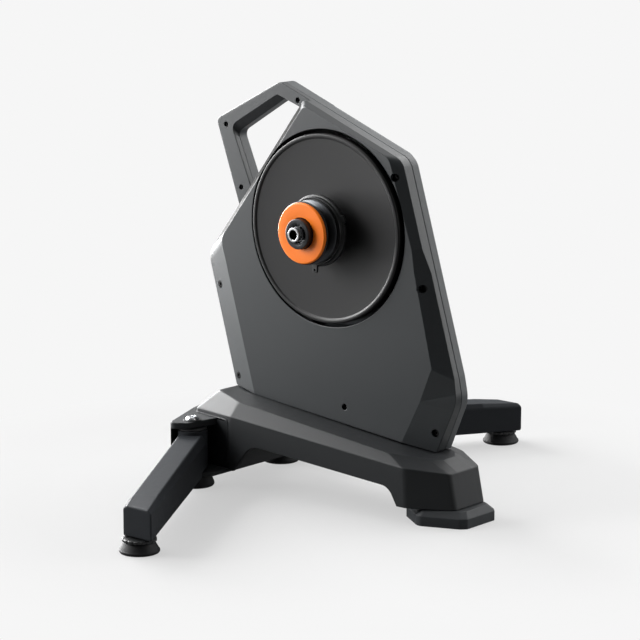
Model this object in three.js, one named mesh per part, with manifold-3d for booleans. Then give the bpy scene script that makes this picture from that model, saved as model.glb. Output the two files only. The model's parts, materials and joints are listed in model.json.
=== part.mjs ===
// Direct drive bike trainer: a folding floor stand that takes the place of the rear wheel.
// Millimetres. +X is the bike's front, -Y its drive side, +Z up. The main axle runs along Y.
// The part stands on z = 0, and its origin is under the middle of its box.

import * as THREE from 'three';
import * as BufferGeometryUtils from 'three/addons/utils/BufferGeometryUtils.js';
import Module from 'manifold-3d';

const wasm = await Module();
wasm.setup();

// Driving dimensions

const axleHeight = 335.2;
const gap = 0.3;
const runFit = 0.4;
const cutOver = 1;
const discSegments = 56;
const roundSegments = 30;
const midSegments = 16;
const smallSegments = 12;
const cornerSteps = 3;

// Two housing shells meet on a seam plane. Places are shares of length and height from the axle.
const housing = {
  length: 400,
  height: 430,
  seamY: 20,
  driveDepth: 24,
  idleDepth: 18,
  idleBevel: 5.8,
  wall: 3,
  driveHandleDepth: 8,
  idleHandleDepth: 17.5,
  seatShare: 0.55814,
  rimClearance: 4.95,
  footClearance: 1.3,
};

// Each corner: rim x and z shares, rim radius, face x and z shares, face radius, bevel depth share.
const housingCornerShares = [
  [-0.5210, -0.1312, 0.065, -0.4412, -0.0728, 0.050, 0.50],
  [-0.1122, 0.3621, 0.022, -0.0938, 0.3467, 0.028, 0.40],
  [0.2800, 0.2175, 0.060, 0.2438, 0.2247, 0.050, 0.37],
  [0.3575, -0.0237, 0.0, 0.3350, -0.0298, 0.0, 0.37],
  [0.3800, -0.0935, 0.0, 0.3450, -0.0919, 0.0, 0.65],
  [0.4720, -0.3819, 0.110, 0.4138, -0.3563, 0.015, 0.62],
  [0.4875, -0.4505, 0.100, 0.3700, -0.4577, 0.040, 0.48],
  [0.4207, -0.6005, 0.008, 0.3000, -0.5860, 0.008, 0.33],
  [-0.4038, -0.5167, 0.008, -0.3000, -0.5279, 0.008, 0.50],
];

// Along the top the idle side's face reaches almost to the rim, so these two corners are its own.
const idleTopFaceShares = { 1: [-0.0915, 0.3519], 2: [0.2578, 0.2233] };

// The carrying handle is a bent bar that leaves the shells at the top rear. On the drive side
// its hole opens out from the seam to the grip's face, up to two corners of its own.
const handle = {
  crestShare: 0.2890,
  crestRadius: 14,
  cornerShares: [-0.4941, 0.2752],
  cornerRadius: 9,
  footShares: [-0.3745, -0.0353],
  rootShares: [-0.0500, 0.2900],
  rootAlongShare: 0.145,
  holeShares: [
    [-0.3188, 0.0228, 0.010],
    [-0.4188, 0.2400, 0.0275],
    [-0.2138, 0.3563, 0.0125],
    [-0.0750, 0.3135, 0.010],
  ],
  gripCornerShares: { 1: [-0.4288, 0.2621], 2: [-0.2375, 0.3656] },
};

// Shares of the housing's length and height, for the screws on the drive side face.
const screwPocket = {
  plateRadius: 4,
  rimRadius: 5,
  handleRadius: 3.4,
  depth: 6,
  bossRadius: 7,
  plateShares: [[0.0722, -0.5142]],
  rimShares: [
    [0.2645, 0.1702], [0.4173, -0.5440], [0.3663, -0.1361],
    [-0.4640, -0.2170], [-0.3880, -0.4850],
  ],
  handleShares: [[-0.4511, 0.2615], [-0.3882, 0.0796], [-0.1514, 0.3543]],
};

// On the far side a round boss carries the axle end through the shell.
const idleBoss = {
  radius: 58,
  topRadius: 44,
  height: 14,
  boreRadius: 20,
};

// The base is one long cast cover, bridge shaped from the side. Heights are shares of its top.
const beam = {
  length: 416,
  rear: -200,
  halfWidth: 59.5,
  topAtAxle: 95.2,
  topSlopeShare: -0.108,
  floor: 20,
  wall: 5,
};

// Half outlines from the rear: x share of length, y share of half width, z share of the top.
const beamFootShares = [
  [0.038, 0.37], [0.043, 0.81], [0.212, 1.00], [0.888, 0.98], [1.018, 0.48], [1.019, 0.24],
];
const beamShoulderShares = [
  [0.038, 0.37, 0.950], [0.043, 0.81, 0.945], [0.212, 1.00, 0.945],
  [0.882, 0.98, 0.725], [0.995, 0.48, 0.667], [0.996, 0.24, 0.664],
];
const beamTopShares = [
  [0.096, 0.24], [0.096, 0.47], [0.216, 0.77], [0.803, 0.78], [0.911, 0.44], [0.938, 0.20],
];

// Side view of the arch under the beam: x share of length, z share of the top, radius share.
const beamArchShares = [
  [0.197, 0.000, 0.000], [0.293, 0.600, 0.070], [0.8245, 0.445, 0.050], [0.8726, 0.000, 0.000],
];

const frontPad = {
  length: 94.5,
  rear: 145.5,
  halfWidth: 53.5,
  height: 19.7,
  bevel: 7,
  bevelHeight: 7.5,
  outlineShares: [[0.0, 0.50], [0.41, 1.0], [0.935, 0.63], [1.0, 0.50]],
};

// The crossmember lies under the beam's rear and ends in two yokes that hold the legs.
const crossmember = {
  front: -117,
  rear: -206,
  bottom: 17,
  top: 84,
  plate: 8.5,
  foot: 5,
  coreHalfWidth: 57,
  rearWeb: 5.5,
  halfSpan: 114,
  footShares: [[1.0, 0.0], [1.0, 0.76], [0.62, 1.0], [0.436, 1.0], [0.05, 0.27], [0.0, 0.0]],
  topShares: [[0.78, 0.0], [0.78, 0.40], [0.68, 0.87], [0.436, 1.0], [0.05, 0.27], [0.0, 0.0]],
};

const hinge = {
  x: -154,
  y: 84,
  pinRadius: 7,
  headRadius: 8.6,
  headHeight: 5,
  socketRadius: 3.4,
  washerRadius: 18,
  washerThickness: 2.6,
  eyeRadius: 19,
};

const leg = {
  reach: 311,
  spreadAngle: 58.6,
  halfWidth: 19.5,
  topHalfWidth: 14.5,
  bottom: 18.4,
  endOver: 11,
  reliefReach: 38.5,
  sectionShares: [0, 0.895, 1.04],
  shoulders: [56.5, 53, 50.5],
  tops: [68.4, 58.4, 53.6],
};

const foot = {
  radius: 24.3,
  topRadius: 18,
  height: 13.4,
  grooveDepth: 1,
  nutRadius: 20.5,
  nutThickness: 3.6,
  nutGrooves: 8,
  nutGrooveRadius: 2.6,
  studRadius: 5,
  studRise: 14,
};

const rearFoot = {
  x: -151.1,
  y: 82.4,
  height: 16.7,
  radius: 24.3,
  topRadius: 19,
};

// Parts on the main axle, from the drive side to the idle side. All y values are faces.
const axle = {
  radius: 8.5,
  boreRadius: 6.2,
  driveEnd: -58,
  idleEnd: 58,
  dropoutFace: 67.2,
  capRadius: 8.9,
  capLip: 2,
};

const pulley = {
  rimShare: 0.295,
  flangeHeight: 10,
  frontY: -9,
  backY: 12,
  beltFrontY: 0.5,
  web: 4,
  rimLip: 3,
  lipDepth: 1.6,
  dish: 3,
  hubRadius: 24,
  hubFrontY: -8.5,
};

const bearing = {
  outerRadius: 17.5,
  width: 9,
  smallOuterRadius: 13.6,
  smallWidth: 7,
};

const freehub = {
  radius: 16.6,
  splineDepth: 1.2,
  splines: 9,
  frontY: -51,
  shoulderY: -17,
  shoulderRadius: 21,
  backY: -9.5,
};

const cog = {
  teeth: 14,
  pitch: 12.7,
  rollerRadius: 3.95,
  tipHeight: 3.2,
  thickness: 2.4,
  y: -40,
};

const sleeve = {
  radius: 21,
  frontY: -47.4,
  backY: -18.5,
};

const guard = {
  radius: 37.8,
  rimRadius: 39.2,
  faceY: -52.5,
  coverThickness: 3.2,
  backY: -46,
  edge: 1.2,
  holeRadius: 19.6,
  innerRadius: 39.6,
  innerFrontY: -35.5,
  innerBackY: -31,
  innerCone: 3,
};

const adjuster = {
  radius: 42,
  flangeRadius: 44.6,
  frontY: -28,
  flangeY: -23.5,
  backY: -19,
  lobeReach: 2.6,
  lobeAngle: 23.6,
  lobeWidth: 9,
  tabReach: 10.5,
  tabWidth: 7,
  tabHoleRadius: 1.7,
};

const lockring = {
  radius: 18.7,
  faceY: -60.2,
  backY: -51.3,
  toolRadius: 12.4,
  toolToothDepth: 1.5,
  toolTeeth: 8,
};

// A steel plate inside the housing stands in the beam and carries every shaft.
const framePlate = {
  frontY: 14,
  thickness: 5,
  footDepth: 30,
  boreRadius: 12,
  windowRadius: 26,
  outlineShares: [
    [-0.270, -0.580], [-0.330, -0.200], [-0.130, 0.130], [0.100, 0.150],
    [0.250, -0.150], [0.330, -0.400], [0.290, -0.640],
  ],
  outlineRadius: 20,
  windowShares: [[-0.170, -0.120], [0.130, -0.110], [-0.200, -0.330]],
};

const frameBolt = {
  radius: 5,
  headRadius: 8.5,
  headHeight: 6,
  drop: 19,
  xShares: [-0.20, 0.06, 0.24],
};

const hubCarrier = {
  flangeRadius: 36,
  flangeThickness: 6,
  tubeRadius: 18.5,
  boltCircleRadius: 27.5,
  boltHoleRadius: 3,
  boltHoles: 5,
};

const flywheel = {
  xShare: 0.10,
  zShare: -0.36,
  beamClearance: 11.52,
  rimWidth: 18,
  width: 12,
  web: 5,
  hubRadius: 16,
  shaftRadius: 6,
  pulleyRadius: 18,
  bearingRadius: 13,
};

const belt = {
  thickness: 3,
  width: 9,
  clearance: 0.5,
};

const idler = {
  radius: 15,
  armShare: 0.288,
  armWidth: 20,
  armThickness: 5,
  pinRadius: 4,
  angle: 12,
};

const brake = {
  coreLength: 42,
  coreDepth: 24,
  standOff: 2,
  angles: [200, 160],
  thickness: 8,
};

const board = {
  length: 84,
  width: 58,
  thickness: 1.8,
  postHeight: 9,
  postRadius: 4,
  postShares: [[-0.280, -0.352], [-0.280, -0.254], [-0.200, -0.254]],
  xShare: -0.25,
  zShare: -0.305,
};

const inlet = {
  radius: 7,
  flangeRadius: 10,
  boreRadius: 3.4,
  depth: 14,
  xShare: -0.26,
  zShare: -0.47,
};

// Materials

function finish(color, roughness, metalness) {
  return new THREE.MeshStandardMaterial({ color, roughness, metalness });
}

const finishes = {
  shell: finish(0x4b4e50, 0.55, 0.0),
  shellFar: finish(0x45484a, 0.55, 0.0),
  base: finish(0x2a2c2e, 0.6, 0.0),
  legs: finish(0x393c3f, 0.55, 0.1),
  rubber: finish(0x151617, 0.85, 0.0),
  disc: finish(0x404040, 0.45, 0.3),
  steel: finish(0xb9bcbf, 0.3, 1.0),
  darkSteel: finish(0x55585b, 0.4, 0.9),
  blackPlastic: finish(0x1b1c1d, 0.5, 0.0),
  orange: finish(0xff8032, 0.45, 0.0),
  castIron: finish(0x36383a, 0.6, 0.8),
  copper: finish(0xa8622f, 0.4, 0.9),
  board: finish(0x1d5a38, 0.6, 0.0),
};

// Solid helpers

const weldShare = 1e-5;
const sideShare = 0.48;

// Drops the triangles that a revolve leaves flat on its axis.
function weld(geometry) {
  const bare = geometry.index ? geometry.toNonIndexed() : geometry.clone();
  for (const name of Object.keys(bare.attributes)) {
    if (name !== 'position') {
      bare.deleteAttribute(name);
    }
  }
  const merged = BufferGeometryUtils.mergeVertices(bare, weldShare * axleHeight);
  const kept = [];
  const index = merged.index.array;
  for (let i = 0; i < index.length; i += 3) {
    const [a, b, c] = [index[i], index[i + 1], index[i + 2]];
    if (a !== b && b !== c && c !== a) {
      kept.push(a, b, c);
    }
  }
  merged.setIndex(kept);
  return merged;
}

function solidOf(geometry) {
  const merged = weld(geometry);
  return new wasm.Manifold(new wasm.Mesh({
    numProp: 3,
    vertProperties: new Float32Array(merged.attributes.position.array),
    triVerts: new Uint32Array(merged.index.array),
  }));
}

function geometryOf(solid) {
  const mesh = solid.getMesh();
  const geometry = new THREE.BufferGeometry();
  geometry.setAttribute('position', new THREE.BufferAttribute(mesh.vertProperties, 3));
  geometry.setIndex(new THREE.BufferAttribute(mesh.triVerts, 1));
  return geometry;
}

// The rounding of one [x, y, radius] corner, which never runs past the middle of a side.
function cornerArc(corners, i, least = 0, steps = cornerSteps) {
  const [x, y, radius] = corners[i];
  const before = corners[(i + corners.length - 1) % corners.length];
  const after = corners[(i + 1) % corners.length];
  const here = new THREE.Vector2(x, y);
  const back = new THREE.Vector2(before[0], before[1]).sub(here);
  const ahead = new THREE.Vector2(after[0], after[1]).sub(here);
  const half = Math.acos(back.dot(ahead) / (back.length() * ahead.length())) / 2;
  const longest = sideShare * Math.min(back.length(), ahead.length());
  const tangent = Math.max(Math.min(radius / Math.tan(half), longest), least);
  const from = here.clone().addScaledVector(back.normalize(), tangent);
  const to = here.clone().addScaledVector(ahead.normalize(), tangent);
  return new THREE.QuadraticBezierCurve(from, here, to).getPoints(steps);
}

function roundedOutline(corners, steps = cornerSteps) {
  return corners.flatMap(([x, y, radius], i) => (
    radius > 0 ? cornerArc(corners, i, 0, steps) : [new THREE.Vector2(x, y)]
  ));
}

// Moves every side of an outline inwards by a distance, and draws its radii in alike.
function insetCorners(corners, distance) {
  const area = THREE.ShapeUtils.area(corners.map(([x, y]) => new THREE.Vector2(x, y)));
  const turn = area > 0 ? 1 : -1;
  const count = corners.length;
  const sides = corners.map(([x, y], i) => {
    const next = corners[(i + 1) % count];
    const along = new THREE.Vector2(next[0] - x, next[1] - y).normalize();
    const inwards = new THREE.Vector2(-along.y * turn, along.x * turn);
    return { at: new THREE.Vector2(x, y).addScaledVector(inwards, distance), along };
  });
  return corners.map(([, , radius], i) => {
    const one = sides[(i + count - 1) % count];
    const two = sides[i];
    const cross = one.along.cross(two.along);
    const apart = two.at.clone().sub(one.at);
    const reach = apart.cross(two.along) / cross;
    const place = one.at.clone().addScaledVector(one.along, reach);
    return [place.x, place.y, Math.max((radius ?? 0) - distance, 0)];
  });
}

// Prisms: an outline of x and z carried along y, of x and y along z, or of y and z along x.
function shapeOf(points, holes = []) {
  const shape = new THREE.Shape(points);
  shape.holes = holes.map((hole) => new THREE.Path(hole));
  return shape;
}

function slab(shape, depth) {
  return new THREE.ExtrudeGeometry(shape, { depth, bevelEnabled: false, curveSegments: smallSegments });
}

function prismY(points, fromY, toY, holes) {
  const geometry = slab(shapeOf(points, holes), toY - fromY);
  geometry.rotateX(Math.PI / 2);
  geometry.translate(0, toY, 0);
  return solidOf(geometry);
}

function prismZ(points, fromZ, toZ, holes) {
  const geometry = slab(shapeOf(points, holes), toZ - fromZ);
  geometry.translate(0, 0, fromZ);
  return solidOf(geometry);
}

function box(fromX, toX, fromY, toY, fromZ, toZ) {
  const geometry = new THREE.BoxGeometry(toX - fromX, toY - fromY, toZ - fromZ);
  geometry.translate((fromX + toX) / 2, (fromY + toY) / 2, (fromZ + toZ) / 2);
  return solidOf(geometry);
}

function rodY(radius, x, z, fromY, toY, segments = smallSegments) {
  const geometry = new THREE.CylinderGeometry(radius, radius, toY - fromY, segments);
  geometry.translate(x, (fromY + toY) / 2, z);
  return solidOf(geometry);
}

function rodZ(radius, x, y, fromZ, toZ, segments = smallSegments) {
  const geometry = new THREE.CylinderGeometry(radius, radius, toZ - fromZ, segments);
  geometry.rotateX(Math.PI / 2);
  geometry.translate(x, y, (fromZ + toZ) / 2);
  return solidOf(geometry);
}

// A closed [radius, y] profile turned about a line along y, here at x = 0 and the height of z.
function turnedY(profile, z = 0, segments = roundSegments) {
  const points = profile.map(([radius, y]) => new THREE.Vector2(radius, y));
  points.push(points[0].clone());
  const geometry = new THREE.LatheGeometry(points, segments);
  geometry.translate(0, 0, z);
  const solid = solidOf(geometry);
  return solid.volume() < 0 ? solidOf(flipped(geometry)) : solid;
}

function turnedZ(profile, segments = roundSegments) {
  const points = profile.map(([radius, z]) => new THREE.Vector2(radius, z));
  points.push(points[0].clone());
  const geometry = new THREE.LatheGeometry(points, segments);
  geometry.rotateX(Math.PI / 2);
  const solid = solidOf(geometry);
  return solid.volume() < 0 ? solidOf(flipped(geometry)) : solid;
}

function flipped(geometry) {
  const index = Array.from(geometry.index.array);
  for (let i = 0; i < index.length; i += 3) {
    [index[i], index[i + 1]] = [index[i + 1], index[i]];
  }
  const turned = geometry.clone();
  turned.setIndex(index);
  return turned;
}

// A skin through rings of equally many points, closed by a cap on the first and the last ring.
function loft(drawnRings, flatten) {
  const clockwise = THREE.ShapeUtils.area(drawnRings[0].map(flatten)) < 0;
  const rings = clockwise ? drawnRings.map((ring) => [...ring].reverse()) : drawnRings;
  const count = rings[0].length;
  const positions = rings.flat().flatMap((point) => [point.x, point.y, point.z]);
  const index = [];
  for (let r = 0; r + 1 < rings.length; r += 1) {
    for (let i = 0; i < count; i += 1) {
      const a = r * count + i;
      const b = r * count + ((i + 1) % count);
      index.push(a, b, b + count, a, b + count, a + count);
    }
  }
  const last = (rings.length - 1) * count;
  const firstCap = THREE.ShapeUtils.triangulateShape(rings[0].map(flatten), []);
  const lastCap = THREE.ShapeUtils.triangulateShape(rings.at(-1).map(flatten), []);
  for (const [a, b, c] of firstCap) {
    index.push(a, c, b);
  }
  for (const [a, b, c] of lastCap) {
    index.push(last + a, last + b, last + c);
  }
  const geometry = new THREE.BufferGeometry();
  geometry.setAttribute('position', new THREE.Float32BufferAttribute(positions, 3));
  geometry.setIndex(index);
  const solid = solidOf(geometry);
  return solid.volume() < 0 ? solidOf(flipped(geometry)) : solid;
}

// The scene graph

const trainer = new THREE.Group();
const driveLegGroup = new THREE.Group();
const idleLegGroup = new THREE.Group();
trainer.add(driveLegGroup, idleLegGroup);

function addPiece(name, solid, material, parent = trainer) {
  const mesh = new THREE.Mesh(geometryOf(solid), material);
  mesh.name = name;
  parent.add(mesh);
  return mesh;
}

const plateSlot = {
  frontY: framePlate.frontY - gap,
  backY: framePlate.frontY + framePlate.thickness + gap,
};

// Housing: over the axle it has its own height, and under it the drop to the beam's top sets it.

const housingDrop = (axleHeight - beam.topAtAxle) / housing.seatShare;
const rimRadius = pulley.rimShare * housing.length;
const beltRadius = rimRadius - pulley.flangeHeight;
const discHoleRadius = rimRadius + housing.rimClearance;

function housingX(share) {
  return share * housing.length;
}

function housingZ(share) {
  return axleHeight + share * (share > 0 ? housing.height : housingDrop);
}

function housingPoint([xShare, zShare]) {
  return [housingX(xShare), housingZ(zShare)];
}

const rimCorners = housingCornerShares.map(([x, z, radius]) => [
  housingX(x), housingZ(z), radius * housing.length,
]);
const faceCorners = housingCornerShares.map(([, , , x, z, radius]) => [
  housingX(x), housingZ(z), radius * housing.length,
]);
const idleFaceCorners = faceCorners.map((corner, i) => (
  i in idleTopFaceShares ? [...housingPoint(idleTopFaceShares[i]), corner[2]] : corner
));
const bevelDepths = housingCornerShares.map((corner) => corner[6] * housing.driveDepth);
const bevelLeanShare = 0.6;

function housingDepth(side) {
  return side < 0 ? housing.driveDepth : housing.idleDepth;
}

// Both outlines get the same points a corner, so that their rings match one to one.
function matchedRing(corners, bevels, inset) {
  const drawn = inset ? insetCorners(corners, inset) : corners;
  return drawn.flatMap((corner, i) => {
    const points = rimCorners[i][2] > 0
      ? cornerArc(drawn, i, weldShare * housing.length)
      : [new THREE.Vector2(corner[0], corner[1])];
    return points.map((point) => ({ x: point.x, z: point.y, bevel: bevels[i] }));
  });
}

// One half of the housing's body: face outline, bevel to the rim, straight wall to the seam.
// The side is -1 for the drive side and 1 for the idle side.
function housingBody(side, inset, seamOver) {
  const depth = housingDepth(side);
  const bevels = side < 0 ? bevelDepths : bevelDepths.map(() => housing.idleBevel);
  const face = matchedRing(side < 0 ? faceCorners : idleFaceCorners, bevels, inset);
  const rim = matchedRing(rimCorners, bevels, inset);
  const at = (ring, drop) => ring.map((point) => (
    new THREE.Vector3(point.x, housing.seamY + side * (depth - drop(point)), point.z)
  ));
  const rings = [
    at(face, () => inset),
    at(rim, (point) => point.bevel + inset * bevelLeanShare),
    at(rim, () => depth + seamOver),
  ];
  return loft(rings, (point) => new THREE.Vector2(point.x, point.z));
}

function extendedCrest(along) {
  const [apex, right] = [rimCorners[1], rimCorners[2]];
  return [apex[0] + (right[0] - apex[0]) * along, apex[1] + (right[1] - apex[1]) * along];
}

// Where a table has a corner of this number, it takes the place of the hole's own.
function handleHole(ownCorners) {
  return roundedOutline(handle.holeShares.map(([x, z, radius], i) => [
    ...housingPoint(ownCorners[i] ?? [x, z]), radius * housing.length,
  ]));
}

// The drive side's hole widens towards the grip's face, which leaves a lip at the seam.
function handleFlare(hole, gripY) {
  const at = (outline, y) => outline.map((point) => new THREE.Vector3(point.x, y, point.y));
  const wide = handleHole(handle.gripCornerShares);
  return loft([
    at(wide, gripY - cutOver), at(wide, gripY), at(hole, housing.seamY),
  ], (point) => new THREE.Vector2(point.x, point.z));
}

function handleBar(side) {
  const crest = extendedCrest(-handle.crestShare);
  const join = extendedCrest(handle.rootAlongShare);
  const outline = roundedOutline([
    [...housingPoint(handle.footShares), 0],
    [...housingPoint(handle.cornerShares), handle.cornerRadius],
    [...crest, handle.crestRadius],
    [...join, 0],
    [...housingPoint(handle.rootShares), 0],
  ]);
  const hole = handleHole({});
  const depth = side < 0 ? housing.driveHandleDepth : housing.idleHandleDepth;
  const faces = [housing.seamY, housing.seamY + side * depth];
  const [fromY, toY] = [Math.min(...faces), Math.max(...faces)];
  const bar = prismY(outline, fromY, toY).subtract(prismY(hole, fromY - cutOver, toY + cutOver));
  return side < 0 ? bar.subtract(handleFlare(hole, fromY)) : bar;
}

// The shell of one side. Each boss is a screw place that stays solid from the face to its end.
function hollowShell(side, bosses) {
  const faceY = housing.seamY + side * (housingDepth(side) + cutOver);
  const hollow = bosses.reduce((rest, [share, endY]) => {
    const [x, z] = housingPoint(share);
    return rest.subtract(rodY(screwPocket.bossRadius, x, z, Math.min(faceY, endY), Math.max(faceY, endY)));
  }, housingBody(side, housing.wall, cutOver));
  return housingBody(side, 0, 0).add(handleBar(side)).subtract(hollow);
}

// Drive side: open round the belt disc, with a blind pocket at each screw.
function driveShell() {
  const { seamY, driveDepth, driveHandleDepth } = housing;
  const { depth, plateShares, rimShares, handleShares } = screwPocket;
  const faceY = seamY - driveDepth;
  const gripY = seamY - driveHandleDepth;
  const bosses = [
    ...plateShares.map((share) => [share, framePlate.frontY - gap]),
    ...rimShares.map((share) => [share, seamY + cutOver]),
  ];
  const pockets = [
    ...plateShares.map((share) => [share, screwPocket.plateRadius, faceY, depth]),
    ...rimShares.map((share) => [share, screwPocket.rimRadius, faceY, depth * 2]),
    ...handleShares.map((share) => [share, screwPocket.handleRadius, gripY, depth]),
  ];
  const shell = pockets.reduce((rest, [share, radius, fromY, deep]) => {
    const [x, z] = housingPoint(share);
    return rest.subtract(rodY(radius, x, z, fromY - cutOver, fromY + deep));
  }, hollowShell(-1, bosses));
  const hole = rodY(discHoleRadius, 0, axleHeight, faceY - cutOver, seamY - gap, discSegments);
  const slot = prismY(roundedOutline(framePlateOutline(gap)), plateSlot.frontY, seamY + cutOver);
  return shell.subtract(hole).subtract(slot);
}

// Idle side: a stepped boss round the axle, open for the hub carrier and the power inlet.
function idleShell() {
  const { wall, seamY } = housing;
  const { radius, topRadius, height, boreRadius } = idleBoss;
  const faceY = seamY + housing.idleDepth;
  const bossTop = faceY + height;
  const boss = turnedY([
    [0, faceY - wall], [radius, faceY - wall], [radius, faceY], [topRadius, bossTop], [0, bossTop],
  ], axleHeight);
  const hollow = turnedY([
    [0, faceY - wall - cutOver], [radius - wall, faceY - wall - cutOver],
    [radius - wall, faceY - wall], [topRadius - wall, bossTop - wall], [0, bossTop - wall],
  ], axleHeight);
  const bore = rodY(boreRadius, 0, axleHeight, faceY - height, bossTop + cutOver, roundSegments);
  const [inletX, inletZ] = housingPoint([inlet.xShare, inlet.zShare]);
  const plug = rodY(inlet.radius + runFit, inletX, inletZ, seamY, bossTop);
  const shell = hollowShell(1, screwPocket.rimShares.map((share) => [share, seamY - cutOver]));
  return shell.add(boss).subtract(hollow).subtract(bore).subtract(plug);
}

const driveSideShell = driveShell();
const seamGap = new THREE.Vector3(0, gap, 0);
const idleSideShell = idleShell().translate(seamGap.toArray());
addPiece('drive_side_shell', driveSideShell, finishes.shell);
addPiece('idle_side_shell', idleSideShell, finishes.shellFar);

// Base beam

function beamX(share) {
  return beam.rear + share * beam.length;
}

function beamTopAt(x) {
  return beam.topAtAxle + beam.topSlopeShare * x;
}

function mirroredRing(half) {
  const near = half.map((point) => new THREE.Vector3(point.x, -point.y, point.z)).reverse();
  return [...half, ...near];
}

// The cover's outer skin, or with an inset the hollow inside its walls.
function beamBody(inset) {
  const ring = (shares, height) => mirroredRing(shares.map((share) => {
    const x = beamX(share[0]);
    const shift = inset * Math.sign(beamX(0.5) - x);
    const y = share[1] * beam.halfWidth;
    return new THREE.Vector3(x + shift, y - inset * Math.min(y / beam.wall, 1), height(x, share));
  }));
  return loft([
    ring(beamFootShares, () => beam.floor - (inset ? cutOver : 0)),
    ring(beamShoulderShares, (x, share) => share[2] * beam.topAtAxle - inset),
    ring(beamTopShares, (x) => beamTopAt(x) - inset),
  ], (point) => new THREE.Vector2(point.x, point.y));
}

// The bridge shape: an arch cut through from side to side.
function beamArch() {
  const outline = roundedOutline(beamArchShares.map(([x, z, radius]) => [
    beamX(x), z * beam.topAtAxle || beam.floor - cutOver, radius * beam.length,
  ]), cornerSteps * 2);
  return prismY(outline, -beam.halfWidth - cutOver, beam.halfWidth + cutOver);
}

function framePlateOutline(grow) {
  const corners = framePlate.outlineShares.map((share, i) => {
    const low = i === 0 || i === framePlate.outlineShares.length - 1;
    const [x, z] = housingPoint(share);
    return [x, low ? beamTopAt(x) - framePlate.footDepth : z, low ? gap : framePlate.outlineRadius];
  });
  return insetCorners(corners, -grow);
}

function frameBoltPlaces() {
  return frameBolt.xShares.map((share) => {
    const x = housingX(share);
    return [x, beamTopAt(x) - frameBolt.drop];
  });
}

function beamSolid() {
  const webDepth = beam.wall * 2;
  const webRear = housingX(framePlate.outlineShares[0][0]) - webDepth;
  const webFront = housingX(framePlate.outlineShares.at(-1)[0]) + webDepth;
  const web = (fromY) => (
    box(webRear, webFront, fromY, fromY + webDepth, 0, beam.topAtAxle * 2)
  );
  const hollow = beamBody(beam.wall)
    .subtract(web(plateSlot.frontY - webDepth)).subtract(web(plateSlot.backY));
  let solid = beamBody(0).subtract(hollow).subtract(beamArch());

  const seat = housing.footClearance;
  const well = prismY(roundedOutline(insetCorners(rimCorners, -seat)),
    housing.seamY - housing.driveDepth - seat, housing.seamY + housing.idleDepth + seat);
  solid = solid.subtract(well);

  const slot = prismY(roundedOutline(framePlateOutline(gap)), plateSlot.frontY, plateSlot.backY);
  solid = solid.subtract(slot);
  const rearBlock = box(
    crossmember.rear - beam.wall, crossmember.front + gap,
    -crossmember.halfSpan, crossmember.halfSpan, 0, crossmember.top + gap,
  );
  solid = solid.subtract(rearBlock);
  for (const [x, z] of frameBoltPlaces()) {
    solid = solid.subtract(rodY(frameBolt.radius + runFit, x, z,
      plateSlot.frontY - beam.wall * 3, plateSlot.backY + beam.wall * 3));
  }
  return solid;
}

addPiece('base_beam', beamSolid(), finishes.base);

// Front pad

function padRing(inset, z) {
  const half = frontPad.outlineShares.map(([along, across]) => new THREE.Vector3(
    frontPad.rear + inset + along * (frontPad.length - 2 * inset),
    across * frontPad.halfWidth - inset,
    z,
  ));
  return mirroredRing(half);
}

const padShoulder = frontPad.height - frontPad.bevelHeight;
addPiece('front_pad', loft([
  padRing(0, 0), padRing(0, padShoulder), padRing(frontPad.bevel, frontPad.height),
], (point) => new THREE.Vector2(point.x, point.y)), finishes.rubber);

// Rear crossmember with its yokes

function spanOutline(shares) {
  const length = crossmember.front - crossmember.rear;
  const half = shares.map(([along, across]) => new THREE.Vector2(
    crossmember.rear + along * length, across * crossmember.halfSpan,
  ));
  const near = half.slice(1, -1).map((point) => new THREE.Vector2(point.x, -point.y)).reverse();
  return [...half, ...near];
}

function crossmemberSolid() {
  const { bottom, top, plate, foot: footPlate, front, rear, halfSpan, coreHalfWidth, rearWeb } = crossmember;
  const lower = prismZ(spanOutline(crossmember.footShares), bottom, bottom + footPlate);
  const upper = prismZ(spanOutline(crossmember.topShares), top - plate, top);
  const body = prismZ(spanOutline(crossmember.footShares), bottom, top);
  const core = box(rear, front, -coreHalfWidth, coreHalfWidth, bottom, top - plate);
  const behind = box(rear, hinge.x - hinge.washerRadius, -halfSpan, halfSpan, bottom, top);
  const web = body.subtract(body.translate([rearWeb, 0, 0])).intersect(behind);
  let solid = core.intersect(body).add(lower).add(upper).add(web);
  for (const side of [-1, 1]) {
    const y = side * hinge.y;
    const bore = rodZ(hinge.pinRadius + runFit, hinge.x, y, bottom - cutOver, top + cutOver, midSegments);
    const sweep = rodZ(hinge.eyeRadius + hinge.washerThickness, hinge.x, y,
      bottom + footPlate, top - plate, midSegments);
    solid = solid.subtract(bore).subtract(sweep);
  }
  return solid;
}

addPiece('rear_crossmember', crossmemberSolid(), finishes.base);

// Hinge bolts, washers and rear feet

function hingeBolt(side) {
  const { pinRadius, headRadius, headHeight, socketRadius } = hinge;
  const low = crossmember.bottom;
  const high = crossmember.top + gap;
  const profile = [
    [0, low], [pinRadius, low], [pinRadius, high], [headRadius, high],
    [headRadius, high + headHeight * 0.3], [headRadius * 0.75, high + headHeight],
    [socketRadius, high + headHeight], [socketRadius, high + headHeight * 0.3],
    [0, high + headHeight * 0.3],
  ];
  return turnedZ(profile, midSegments).translate([hinge.x, side * hinge.y, 0]);
}

function ring(outer, inner, fromZ, toZ) {
  return turnedZ([[inner, fromZ], [outer, fromZ], [outer, toZ], [inner, toZ]], midSegments);
}

const slotTop = crossmember.top - crossmember.plate;
const slotBottom = crossmember.bottom + crossmember.foot;
const legEyeTop = slotTop - hinge.washerThickness - 2 * gap;
const legEyeBottom = slotBottom + hinge.washerThickness + 2 * gap;

function hingeWasher(side, fromZ) {
  const washer = ring(hinge.washerRadius, hinge.pinRadius + runFit, fromZ, fromZ + hinge.washerThickness);
  return washer.translate([hinge.x, side * hinge.y, 0]);
}

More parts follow.
